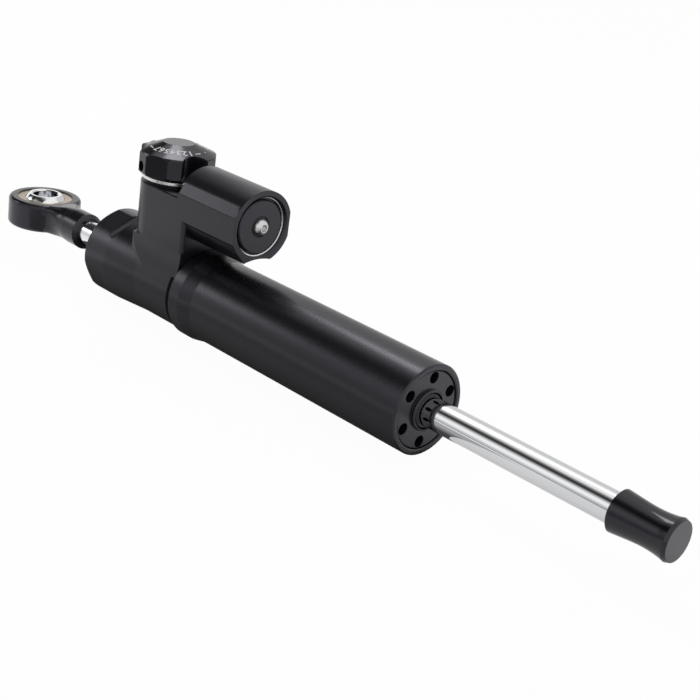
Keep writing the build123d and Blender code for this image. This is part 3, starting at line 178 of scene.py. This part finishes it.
class DamperFinish(bpy.types.PropertyGroup):
    anodised: FloatVectorProperty(
        name="Anodised black", description="Colour of the dyed oxide on the housing",
        subtype="COLOR", size=3, min=0, max=1, default=(0.0062, 0.006, 0.0075),
    )
    anodised_roughness: FloatProperty(
        name="Anodised roughness", description="How far the oxide spreads a highlight",
        subtype="FACTOR", min=0, max=1, default=0.27,
    )
    cast: FloatVectorProperty(
        name="Cast", description="Tint of what the black surfaces mirror",
        subtype="COLOR", size=3, min=0, max=1, default=(0.88, 0.865, 1.0),
    )
    gloss: FloatVectorProperty(
        name="Gloss black", description="Colour of the end cap",
        subtype="COLOR", size=3, min=0, max=1, default=(0.006, 0.006, 0.007),
    )
    chrome: FloatVectorProperty(
        name="Hard chrome", description="Colour of the rod and the ball",
        subtype="COLOR", size=3, min=0, max=1, default=(0.84, 0.845, 0.86),
    )
    bronze: FloatVectorProperty(
        name="Bronze", description="Colour of the rod end's race and the bushes",
        subtype="COLOR", size=3, min=0, max=1, default=(0.5, 0.42, 0.31),
    )
    steel: FloatVectorProperty(
        name="Bright steel", description="Colour of screws and wire",
        subtype="COLOR", size=3, min=0, max=1, default=(0.62, 0.62, 0.62),
    )
    rubber: FloatVectorProperty(
        name="Rubber", description="Colour of seals and wipers",
        subtype="COLOR", size=3, min=0, max=1, default=(0.01, 0.01, 0.011),
    )


class DamperTrim(bpy.types.PropertyGroup):
    numeral_count: IntProperty(
        name="Numerals", description="Plain numbers on the knob's cone", min=1, max=9, default=7,
    )
    numeral_height: FloatProperty(
        name="Numeral height", description="Height of a number",
        subtype="DISTANCE", unit="LENGTH", default=0.0026,
    )
    numeral_first: FloatProperty(
        name="First numeral", description="Where the numbers begin round the knob",
        subtype="ANGLE", unit="ROTATION", default=math.radians(-12.0),
    )
    numeral_step: FloatProperty(
        name="Numeral step", description="Turn from one number to the next",
        subtype="ANGLE", unit="ROTATION", default=math.radians(-12.5),
    )
    mark_count: IntProperty(
        name="Marks", description="Dashes and dots round the rest of the cone", min=3, max=31, default=11,
    )
    mark_first: FloatProperty(
        name="First mark", description="Where the dashes begin round the knob",
        subtype="ANGLE", unit="ROTATION", default=math.radians(4.3),
    )
    mark_last: FloatProperty(
        name="Last mark", description="Where the dashes end round the knob",
        subtype="ANGLE", unit="ROTATION", default=math.radians(256.4),
    )
    mark_radius: FloatProperty(
        name="Mark radius", description="Distance of the marks from the knob's axis",
        subtype="DISTANCE", unit="LENGTH", default=0.0102,
    )
    dash_length: FloatProperty(
        name="Dash length", description="Length of a dash",
        subtype="DISTANCE", unit="LENGTH", default=0.0026,
    )
    stroke: FloatProperty(
        name="Stroke", description="Width of a dash and of a dot",
        subtype="DISTANCE", unit="LENGTH", default=0.0005,
    )
    paint: FloatProperty(
        name="Paint", description="Thickness of the paint in the marks",
        subtype="DISTANCE", unit="LENGTH", default=0.00006,
    )
    # The joint's black line is painted shade in the seam between head and tube.
    seam_shade_radius: FloatProperty(
        name="Joint seal radius", description="Outside radius of the black line between head and tube",
        subtype="DISTANCE", unit="LENGTH", default=0.0158,
    )
    seam_shade_width: FloatProperty(
        name="Joint seal width", description="Width of the black line between head and tube",
        subtype="DISTANCE", unit="LENGTH", default=0.0022,
    )


class DamperStage(bpy.types.PropertyGroup):
    camera_place: FloatVectorProperty(
        name="Camera place", description="Where the lens is",
        subtype="TRANSLATION", unit="LENGTH", size=3, default=(0.29753, -0.30729, 0.17016),
    )
    camera_back: FloatVectorProperty(
        name="Camera back", description="Direction from the object to the camera",
        subtype="DIRECTION", size=3, default=(0.63113, -0.68466, 0.36458),
    )
    camera_up: FloatVectorProperty(
        name="Camera up", description="Direction of the image's top",
        subtype="DIRECTION", size=3, default=(-0.3531, 0.1649, 0.9210),
    )
    lens: FloatProperty(
        name="Lens", description="Focal length on a 36 mm sensor", unit="CAMERA", default=70.14,
    )
    room_light: FloatProperty(
        name="Room light", description="Brightness of the surroundings where they light the object",
        min=0, max=2, default=0.7,
    )
    key_power: FloatProperty(
        name="Key lamp", description="Power of the broad lamp over the rod's end",
        unit="POWER", min=0, default=1.13,
    )
    key_turn: FloatProperty(
        name="Key lamp turn", description="How the key lamp's sides lie to the object's axis",
        subtype="ANGLE", unit="ROTATION", default=math.radians(-42.0),
    )
    side_power: FloatProperty(
        name="Side lamp", description="Power of the small lamp to the left of the camera",
        unit="POWER", min=0, default=0.22,
    )


def clear_selection():
    """Nothing selected, object mode."""
    if bpy.context.object and bpy.context.object.mode != "OBJECT":
        bpy.ops.object.mode_set(mode="OBJECT")
    bpy.ops.object.select_all(action="DESELECT")


def select_alone(piece):
    """One piece selected and active, object mode."""
    clear_selection()
    piece.select_set(True)
    bpy.context.view_layer.objects.active = piece


def settle(piece):
    """Puts a finished piece's place into its mesh."""
    select_alone(piece)
    bpy.ops.object.transform_apply(location=True, rotation=True, scale=True)


def deselect_mesh(piece):
    """Nothing selected in a piece's mesh, and the piece alone selected."""
    select_alone(piece)
    bpy.ops.object.mode_set(mode="EDIT")
    bpy.ops.mesh.select_all(action="DESELECT")
    bpy.ops.object.mode_set(mode="OBJECT")


def merge_doubles(piece):
    """Welds a piece's loose seams and turns its faces outwards."""
    select_alone(piece)
    bpy.ops.object.mode_set(mode="EDIT")
    bpy.ops.mesh.select_all(action="SELECT")
    bpy.ops.mesh.remove_doubles(threshold=WELD_DISTANCE)
    bpy.ops.mesh.normals_make_consistent(inside=False)
    bpy.ops.object.mode_set(mode="OBJECT")


def circle_across(name, x, radius):
    """A bare circle that stands across the X axis, to be pulled along it."""
    clear_selection()
    bpy.ops.mesh.primitive_circle_add(
        vertices=ROUND_STEPS, radius=radius, rotation=ACROSS_X, location=(x, 0, 0),
    )
    circle = bpy.context.object
    circle.name = name
    settle(circle)
    return circle


def new_material(name):
    """A node material, its tree and its shader."""
    material = bpy.data.materials.new(name)
    material.use_nodes = True
    tree = material.node_tree
    return material, tree, tree.nodes["Principled BSDF"]


def add_node(tree, kind, **values):
    """A shader node with its settings."""
    node = tree.nodes.new(kind)
    for key, value in values.items():
        setattr(node, key, value)
    return node


def combined(tree, operation, first, second):
    """The outcome of a math node on one socket and on a second socket or number."""
    node = add_node(tree, "ShaderNodeMath", operation=operation)
    tree.links.new(first, node.inputs[0])
    if isinstance(second, float):
        node.inputs[1].default_value = second
    else:
        tree.links.new(second, node.inputs[1])
    return node.outputs[0]


def object_noise(tree, scale, detail, stretch=EVEN):
    """Noise in the object's own metres, drawn out as turned or ground surfaces are."""
    place = add_node(tree, "ShaderNodeTexCoord")
    mapping = add_node(tree, "ShaderNodeMapping")
    mapping.inputs["Scale"].default_value = stretch
    noise = add_node(tree, "ShaderNodeTexNoise")
    noise.inputs["Scale"].default_value = scale
    noise.inputs["Detail"].default_value = detail
    tree.links.new(place.outputs["Object"], mapping.inputs["Vector"])
    tree.links.new(mapping.outputs["Vector"], noise.inputs["Vector"])
    return noise.outputs["Fac"]


def between(tree, value, low, high, start=NOISE_LOW, end=NOISE_HIGH):
    """Turns a value that runs from start to end into one from low to high."""
    ramp = add_node(tree, "ShaderNodeMapRange")
    ramp.inputs["From Min"].default_value = start
    ramp.inputs["From Max"].default_value = end
    ramp.inputs["To Min"].default_value = low
    ramp.inputs["To Max"].default_value = high
    tree.links.new(value, ramp.inputs["Value"])
    return ramp.outputs["Result"]


def bump(tree, shader, height, distance, strength):
    """Feeds a height into the shader's normal."""
    node = add_node(tree, "ShaderNodeBump")
    node.inputs["Strength"].default_value = strength
    node.inputs["Distance"].default_value = distance
    tree.links.new(height, node.inputs["Height"])
    tree.links.new(node.outputs["Normal"], shader.inputs["Normal"])


def tinted(tree, shader, factor, dark, light):
    """Base colour that drifts between two tones."""
    mix = add_node(tree, "ShaderNodeMix", data_type="RGBA")
    mix.inputs["A"].default_value = (*dark, 1)
    mix.inputs["B"].default_value = (*light, 1)
    tree.links.new(factor, mix.inputs["Factor"])
    tree.links.new(mix.outputs["Result"], shader.inputs["Base Color"])


def soften_edges(tree, shader, radius):
    """Rounds the edges of a machined piece in its shading, as a deburred edge catches the light."""
    round_edge = add_node(tree, "ShaderNodeBevel", samples=4)
    round_edge.inputs["Radius"].default_value = radius
    bumps = [node for node in tree.nodes if node.bl_idname == "ShaderNodeBump"]
    target = bumps[0].inputs["Normal"] if bumps else shader.inputs["Normal"]
    tree.links.new(round_edge.outputs["Normal"], target)


def scaled(colour, factor):
    """A colour made lighter or darker, white at most."""
    return tuple(min(1.0, channel * factor) for channel in colour)


def shades(colour, dark, light):
    """The two tones that a colour drifts between, as shares of it."""
    return scaled(colour, dark), scaled(colour, light)


def surface(name, tones, grain, roughness, stretch=EVEN, drift=None, relief=None, edge=None, metallic=0.0):
    """A finish whose roughness follows a grain, and its two tones that grain or a slower drift.

    Grain and drift give the scale and the detail of a noise, relief the height and the strength
    of the grain's bumps, and edge the radius of the broken edges.
    """
    material, tree, shader = new_material(name)
    marks = object_noise(tree, *grain, stretch)
    tinted(tree, shader, object_noise(tree, *drift) if drift else marks, *tones)
    tree.links.new(between(tree, marks, *roughness), shader.inputs["Roughness"])
    shader.inputs["Metallic"].default_value = metallic
    if relief:
        bump(tree, shader, marks, *relief)
    if edge:
        soften_edges(tree, shader, edge)
    return material


def dyed(material, finish):
    """Gives a black dyed surface the faint violet cast of what it mirrors."""
    shader = material.node_tree.nodes["Principled BSDF"]
    shader.inputs["Specular IOR Level"].default_value = DYED_SPECULAR
    shader.inputs["Specular Tint"].default_value = (*finish.cast, 1)
    return material


def anodised_material(name, finish, stretch, roughness_shift=0.0):
    """Black anodised aluminium with fine tool marks and a slightly uneven dye."""
    middle = finish.anodised_roughness + roughness_shift
    material = surface(
        name, shades(finish.anodised, 0.8, 1.3), grain=(900.0, 4.0), stretch=stretch, drift=(45.0, 2.0),
        roughness=(middle - ANODISED_SPREAD, middle + ANODISED_SPREAD),
        relief=(0.000002, 0.08), edge=0.0003,
    )
    return dyed(material, finish)


def chrome_material(finish):
    """Hard chrome on a ground rod, with hair-fine grinding marks."""
    return surface(
        "hard_chrome", shades(finish.chrome, 0.97, 1.02), grain=(700.0, 2.0), stretch=GROUND,
        roughness=(0.05, 0.09), metallic=1.0,
    )


def steel_material(name, colour, roughness):
    """Bright steel or aluminium with turning marks."""
    return surface(
        name, shades(colour, 0.9, 1.08), grain=(900.0, 3.0), roughness=roughness,
        relief=(0.000002, 0.3), edge=0.00015, metallic=1.0,
    )


def gloss_material(finish):
    """Deep gloss black on the end cap, with slight orange peel."""
    material = surface(
        "gloss_black", shades(finish.gloss, 0.9, 1.1), grain=(350.0, 1.0), roughness=(0.1, 0.15),
        relief=(0.000004, 0.15), edge=0.0003,
    )
    return dyed(material, finish)


def black_steel_material(finish):
    """Satin black of the forged rod end."""
    material = surface(
        "black_steel", shades(finish.anodised, 0.9, 1.5), grain=(500.0, 4.0), roughness=(0.17, 0.22),
        relief=(0.000003, 0.2), edge=0.0004,
    )
    return dyed(material, finish)


def bronze_material(finish):
    """Bronze race with a smeared, oily tone."""
    return surface(
        "bronze", shades(finish.bronze, 0.8, 1.2), grain=(260.0, 5.0), roughness=(0.26, 0.38),
        relief=(0.000004, 0.3), metallic=1.0,
    )


def moulded_material(name, colour, roughness=(0.5, 0.65)):
    """Moulded rubber or plastic, slightly grainy."""
    return surface(
        name, shades(colour, 0.85, 1.2), grain=(1800.0, 3.0), roughness=roughness, relief=(0.00001, 0.3),
    )


def seam_shade_material():
    """Dull black, darker than the metal beside it: the painted shade in the seam between head and tube."""
    material = moulded_material("painted_seam_shade", (0.002, 0.002, 0.0022), (0.7, 0.85))
    shader = material.node_tree.nodes["Principled BSDF"]
    shader.inputs["Specular IOR Level"].default_value = SEAM_SHADE_SPECULAR
    return material


def paint_material():
    """Grey-white paint in the marks, a little worn."""
    tones = (0.55, 0.55, 0.56), (0.88, 0.88, 0.9)
    return surface("mark_paint", tones, grain=(2500.0, 4.0), roughness=(0.5, 0.65))


class DAMPER_OT_finishes(bpy.types.Operator):
    """Give every machined piece its finish"""
    bl_idname = "damper.finishes"
    bl_label = "Finishes"

    def execute(self, context):
        finish = context.scene.damper_finish
        turned = anodised_material("anodised_turned", finish, TURNED)
        milled = anodised_material("anodised_milled", finish, EVEN, MILLED_SHIFT)
        knob = anodised_material("anodised_knob", finish, EVEN, KNOB_SHIFT)
        by_slot = {
            "black_anodised": milled,
            "plain_aluminium": steel_material("plain_aluminium", scaled(finish.steel, 1.1), (0.3, 0.45)),
            "bright_ring": steel_material("bright_ring", scaled(finish.steel, 1.3), (0.2, 0.34)),
            "bright_steel": steel_material("bright_steel", finish.steel, (0.18, 0.3)),
            "hard_chrome": chrome_material(finish),
            "black_steel": black_steel_material(finish),
            "gloss_black": gloss_material(finish),
            "bronze": bronze_material(finish),
            "black_rubber": moulded_material("black_rubber", finish.rubber),
            "filled_ptfe": moulded_material("filled_ptfe", (0.2, 0.15, 0.11)),
            "polyurethane": moulded_material("polyurethane", (0.45, 0.33, 0.1), (0.35, 0.5)),
        }
        by_node = {"outer_tube": turned, "front_gland": turned, "adjuster_knob": knob}
        for part in frame["record"]["subparts"]:
            name = part["node"]
            mesh = NODES[name].data
            mesh.materials.clear()
            mesh.materials.append(by_node.get(name, by_slot[part["material_slot"]]))
        return {"FINISHED"}


def cone_place(angle, radius, uphill=1.0):
    """Where a mark lies on the cone: x round the knob, y up the slope, z out of the surface.

    With uphill -1 the mark is turned half round, its top down the slope.
    """
    c, s = math.cos(angle), math.sin(angle)
    up, out = math.sin(CONE_SLOPE), math.cos(CONE_SLOPE)
    around = Vector((-s, c, 0)) * uphill
    along = Vector((-c * out, -s * out, up)) * uphill
    normal = Vector((c * up, s * up, out))
    z = KNOB_TOP_Z - (radius - CONE_TOP_R) * math.tan(CONE_SLOPE)
    place = Vector((KNOB_X + radius * c, radius * s, z))
    return Matrix.Translation(place) @ Matrix((around, along, normal)).transposed().to_4x4()


def knob_numerals(trim):
    """Plain numbers, their feet towards the knob's top."""
    numerals = []
    for i in range(trim.numeral_count):
        clear_selection()
        bpy.ops.object.text_add()
        numeral = bpy.context.object
        numeral.data.body = str(i + 1)
        numeral.data.size = trim.numeral_height / NUMERAL_SHARE
        numeral.data.align_x = "CENTER"
        numeral.data.align_y = "CENTER"
        numeral.data.extrude = trim.paint
        numeral.data.offset = trim.stroke * NUMERAL_SWELL
        numeral.data.resolution_u = NUMERAL_STEPS
        bpy.ops.object.convert(target="MESH")
        angle = trim.numeral_first + i * trim.numeral_step
        numeral.matrix_world = cone_place(angle, trim.mark_radius - NUMERAL_INSET, uphill=-1.0)
        settle(numeral)
        numerals.append(numeral)
    return numerals


def rounded_bar(length, width, height):
    """A small bar with rounded ends, flat on its back."""
    clear_selection()
    bpy.ops.mesh.primitive_cube_add(size=1.0)
    bar = bpy.context.object
    bar.scale = (length, width, height)
    settle(bar)
    deselect_mesh(bar)
    for edge in bar.data.edges:
        a, b = (bar.data.vertices[v].co for v in edge.vertices)
        edge.select = abs(a.x - b.x) < SAME_PLACE and abs(a.y - b.y) < SAME_PLACE
    bpy.ops.object.mode_set(mode="EDIT")
    bpy.ops.mesh.select_mode(type="EDGE")
    bpy.ops.mesh.bevel(offset=DASH_END_SHARE * width, segments=DASH_END_STEPS, affect="EDGES")
    bpy.ops.object.mode_set(mode="OBJECT")
    return bar


def knob_dashes(trim):
    """Dashes and dots by turns, round the part of the cone that has no numbers."""
    dash = rounded_bar(trim.dash_length, trim.stroke, 2 * trim.paint)
    dot = rounded_bar(trim.stroke, trim.stroke, 2 * trim.paint)
    step = (trim.mark_last - trim.mark_first) / (trim.mark_count - 1)
    marks = []
    for i in range(trim.mark_count):
        source = dash if i % 2 == 0 else dot
        mark = source.copy()
        mark.data = source.data.copy()
        bpy.context.scene.collection.objects.link(mark)
        mark.matrix_world = cone_place(trim.mark_first + i * step, trim.mark_radius + DASH_OUTSET)
        settle(mark)
        marks.append(mark)
    for source in (dash, dot):
        bpy.data.objects.remove(source)
    return marks


class DAMPER_OT_marks(bpy.types.Operator):
    """Painted numbers, dashes and dots round the knob's cone"""
    bl_idname = "damper.marks"
    bl_label = "Knob Marks"

    def execute(self, context):
        trim = context.scene.damper_trim
        pieces = knob_numerals(trim) + knob_dashes(trim)
        clear_selection()
        for piece in pieces:
            piece.select_set(True)
        bpy.context.view_layer.objects.active = pieces[0]
        bpy.ops.object.join()
        marks = bpy.context.object
        marks.name = "knob_marks"
        settle(marks)
        merge_doubles(marks)
        marks.data.materials.clear()
        marks.data.materials.append(paint_material())
        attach(marks, "knob")
        return {"FINISHED"}


def turned_band(name, x, width, radius, wall):
    """A closed band round the X axis, pulled from a circle: in, along, out and back."""
    band = circle_across(name, x, radius)
    inward = (radius - wall) / radius
    bpy.ops.object.mode_set(mode="EDIT")
    bpy.ops.mesh.select_all(action="SELECT")
    for along, scale in ((0.0, inward), (width, 1.0), (0.0, 1.0 / inward), (-width, 1.0)):
        bpy.ops.mesh.extrude_region_move(TRANSFORM_OT_translate={"value": (along, 0, 0)})
        bpy.ops.transform.resize(value=(1.0, scale, scale))
    bpy.ops.object.mode_set(mode="OBJECT")
    merge_doubles(band)
    return band


class DAMPER_OT_seam_shade(bpy.types.Operator):
    """Black band of painted shade round the joint of head and tube"""
    bl_idname = "damper.seal"
    bl_label = "Joint Seam Shade"

    def execute(self, context):
        trim = context.scene.damper_trim
        start_x = JOINT_X - trim.seam_shade_width
        # A thin dark band in the seam, standing in for its shade.
        seal = turned_band("joint_seam_shade", start_x, trim.seam_shade_width, trim.seam_shade_radius, SEAM_SHADE_WALL)
        seal.data.materials.append(seam_shade_material())
        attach(seal, "damper_body")
        return {"FINISHED"}


def seen_white(tree):
    """1 for rays that look at the surroundings or mirror them, 0 for rays that light the object."""
    path = add_node(tree, "ShaderNodeLightPath")
    seen = path.outputs["Is Camera Ray"]
    for name in ("Is Glossy Ray", "Is Transmission Ray"):
        seen = combined(tree, "MAXIMUM", seen, path.outputs[name])
    return seen


def mix_shaders(tree, share, first, second, output):
    """Sends two shaders to an output, the second by its share."""
    mix = add_node(tree, "ShaderNodeMixShader")
    tree.links.new(share, mix.inputs[0])
    tree.links.new(first.outputs[0], mix.inputs[1])
    tree.links.new(second.outputs[0], mix.inputs[2])
    tree.links.new(mix.outputs[0], output.inputs["Surface"])


def make_world(stage):
    """White where it is looked at or mirrored, and a plain grey where it lights the object."""
    world = bpy.data.worlds.new("studio")
    bpy.context.scene.world = world
    world.use_nodes = True
    tree = world.node_tree
    tree.nodes.clear()
    seen = add_node(tree, "ShaderNodeBackground")
    seen.inputs["Color"].default_value = (1, 1, 1, 1)
    seen.inputs["Strength"].default_value = 1.0
    room = add_node(tree, "ShaderNodeBackground")
    room.inputs["Strength"].default_value = stage.room_light
    mix_shaders(tree, seen_white(tree), room, seen, add_node(tree, "ShaderNodeOutputWorld"))


def make_floor():
    """A plain white floor that keeps a faint shadow of the object."""
    clear_selection()
    bpy.ops.mesh.primitive_plane_add(size=FLOOR_SIDE, location=(0, 0, GROUND_Z - FLOOR_DROP))
    floor = bpy.context.object
    floor.name = "floor"
    settle(floor)
    material, tree, shader = new_material("floor_white")
    shader.inputs["Base Color"].default_value = (FLOOR_GREY, FLOOR_GREY, FLOOR_GREY, 1)
    shader.inputs["Roughness"].default_value = FLOOR_ROUGHNESS
    shader.inputs["Specular IOR Level"].default_value = 0.0
    glow = add_node(tree, "ShaderNodeEmission")
    share = combined(tree, "MULTIPLY", seen_white(tree), FLOOR_GLOW)
    mix_shaders(tree, share, shader, glow, tree.nodes["Material Output"])
    floor.data.materials.append(material)


def show_to_mirrors(cloth):
    """Lets only mirrors see a cloth of the stage: it neither lights nor shades anything."""
    cloth.visible_camera = False
    cloth.visible_diffuse = False
    cloth.visible_transmission = False
    cloth.visible_volume_scatter = False
    cloth.visible_shadow = False


def banded_glow(name, position, stops, low, high):
    """Emission whose grey follows a ramp; position(tree) gives the value that the ramp runs along."""
    material, tree, shader = new_material(name)
    tree.nodes.remove(shader)
    value = between(tree, position(tree), 0.0, 1.0, low, high)
    ramp = add_node(tree, "ShaderNodeValToRGB")
    elements = ramp.color_ramp.elements
    while len(elements) < len(stops):
        elements.new(0.5)
    for element, (place, grey) in zip(elements, stops):
        element.position = (place - low) / (high - low)
        element.color = (grey, grey, grey, 1)
    glow = add_node(tree, "ShaderNodeEmission")
    tree.links.new(value, ramp.inputs["Fac"])
    tree.links.new(ramp.outputs["Color"], glow.inputs["Color"])
    tree.links.new(glow.outputs[0], tree.nodes["Material Output"].inputs["Surface"])
    return material


def object_axes(tree):
    """The three object coordinates as separate sockets."""
    place = add_node(tree, "ShaderNodeTexCoord")
    axes = add_node(tree, "ShaderNodeSeparateXYZ")
    tree.links.new(place.outputs["Object"], axes.inputs[0])
    return axes.outputs


def angle_over_horizon(tree):
    """Degrees from the front (-Y) over the top (+Z) to the back."""
    axes = object_axes(tree)
    front = combined(tree, "MULTIPLY", axes["Y"], -1.0)
    turn = combined(tree, "ARCTAN2", axes["Z"], front)
    return combined(tree, "MULTIPLY", turn, math.degrees(1.0))


def distance_back(tree):
    """Distance behind the X axis."""
    return object_axes(tree)["Y"]


def add_tent(name, x0, x1, stops):
    """Half a tube of cloth over the table, along X."""
    tent = circle_across(name, x0, TENT_R)
    deselect_mesh(tent)
    for vertex in tent.data.vertices:
        vertex.select = vertex.co.z < TENT_FOOT_Z
    bpy.ops.object.mode_set(mode="EDIT")
    bpy.ops.mesh.select_mode(type="VERT")
    bpy.ops.mesh.delete(type="VERT")
    bpy.ops.mesh.select_all(action="SELECT")
    bpy.ops.mesh.extrude_region_move(TRANSFORM_OT_translate={"value": (x1 - x0, 0, 0)})
    bpy.ops.object.mode_set(mode="OBJECT")
    tent.data.materials.append(banded_glow(name, angle_over_horizon, stops, 0.0, 180.0))
    show_to_mirrors(tent)


def add_table_cloth(name, x0, x1, stops):
    """Cloth on the table, just over the floor, with a painted shadow of the object in its grey."""
    clear_selection()
    bpy.ops.mesh.primitive_plane_add(size=1.0, location=((x0 + x1) / 2, 0, GROUND_Z - TABLE_DROP))
    cloth = bpy.context.object
    cloth.name = name
    cloth.scale = (x1 - x0, 2 * TABLE_REACH, 1)
    settle(cloth)
    cloth.data.materials.append(banded_glow(name, distance_back, stops, -TABLE_REACH, TABLE_REACH))
    show_to_mirrors(cloth)


def make_cloths():
    """Grey cloths, which give the black and chrome pieces their light and dark stripes, and on the table a
    painted shadow of the object for mirrors to see.
    """
    tents = (("tent_far", TENT_FAR), ("tent_left", TENT_LEFT), ("tent_right", TENT_RIGHT))
    for i, (name, stops) in enumerate(tents):
        add_tent(name, TENT_ENDS_X[i], TENT_ENDS_X[i + 1], stops)
    # The table cloths carry the object's painted shadow, which mirrors see in place of the floor.
    cloths = (("shadowed_cloth_far", TABLE_FAR_SHADE), ("shadowed_cloth_left", TABLE_LEFT_SHADE), ("shadowed_cloth_right", TABLE_RIGHT_SHADE))
    for i, (name, stops) in enumerate(cloths):
        add_table_cloth(name, TABLE_ENDS_X[i], TABLE_ENDS_X[i + 1], stops)


def add_lamp(name, place, turn, sides, power):
    """One soft lamp with straight sides."""
    data = bpy.data.lights.new(name, "AREA")
    data.shape = "RECTANGLE"
    data.size, data.size_y = sides
    data.energy = power
    lamp = bpy.data.objects.new(name, data)
    bpy.context.scene.collection.objects.link(lamp)
    lamp.location = place
    lamp.rotation_euler = turn


def make_lamps(stage):
    """A broad lamp that looks straight down, set askew, and a small one to the left of the camera."""
    add_lamp("key", KEY_PLACE, (0.0, 0.0, stage.key_turn), KEY_SIDES, stage.key_power)
    aim = (Vector(SIDE_TARGET) - Vector(SIDE_PLACE)).to_track_quat("-Z", "Y").to_euler()
    add_lamp("side", SIDE_PLACE, aim, SIDE_SIDES, stage.side_power)


def make_camera(stage):
    """The photograph's own viewpoint, rolled as the photograph is."""
    data = bpy.data.cameras.new("view")
    camera = bpy.data.objects.new("view", data)
    bpy.context.scene.collection.objects.link(camera)
    data.sensor_width = SENSOR_WIDTH
    data.lens = stage.lens
    data.clip_start = CAMERA_NEAR
    back = Vector(stage.camera_back).normalized()
    right = Vector(stage.camera_up).cross(back).normalized()
    up = back.cross(right)
    turn = Matrix((right, up, back)).transposed()
    camera.matrix_world = Matrix.Translation(stage.camera_place) @ turn.to_4x4()
    bpy.context.scene.camera = camera


class DAMPER_OT_stage(bpy.types.Operator):
    """Floor, white surroundings, cloths, lamps and the camera"""
    bl_idname = "damper.stage"
    bl_label = "Stage"

    def execute(self, context):
        stage = context.scene.damper_stage
        context.scene.view_settings.view_transform = "Standard"
        make_world(stage)
        make_floor()
        make_lamps(stage)
        make_cloths()
        make_camera(stage)
        return {"FINISHED"}


class DAMPER_PT_panel(bpy.types.Panel):
    """Lists the damper's operators and settings"""
    bl_idname = "DAMPER_PT_panel"
    bl_label = "Steering Damper"
    bl_space_type = "VIEW_3D"
    bl_region_type = "UI"
    bl_category = "Damper"

    def draw(self, context):
        layout = self.layout
        for operator in OPERATORS:
            layout.operator(operator.bl_idname)
        scene = context.scene
        for group in (scene.damper_finish, scene.damper_trim, scene.damper_stage):
            for key in group.bl_rna.properties.keys():
                if key not in ("rna_type", "name"):
                    layout.prop(group, key)


OPERATORS = (DAMPER_OT_stage, DAMPER_OT_finishes, DAMPER_OT_marks, DAMPER_OT_seam_shade)
CLASSES = (DamperFinish, DamperTrim, DamperStage) + OPERATORS + (DAMPER_PT_panel,)


def register():
    """Makes the settings, the operators and the panel known."""
    for cls in CLASSES:
        bpy.utils.register_class(cls)
    bpy.types.Scene.damper_finish = PointerProperty(type=DamperFinish)
    bpy.types.Scene.damper_trim = PointerProperty(type=DamperTrim)
    bpy.types.Scene.damper_stage = PointerProperty(type=DamperStage)


def unregister():
    """Takes them away again."""
    del bpy.types.Scene.damper_stage
    del bpy.types.Scene.damper_trim
    del bpy.types.Scene.damper_finish
    for cls in reversed(CLASSES):
        bpy.utils.unregister_class(cls)


def main():
    """Registers the classes, builds the stage, the finishes and the small pieces."""
    register()
    bpy.ops.damper.stage()
    bpy.ops.damper.finishes()
    bpy.ops.damper.marks()
    bpy.ops.damper.seal()


if __name__ == "__main__":
    main()
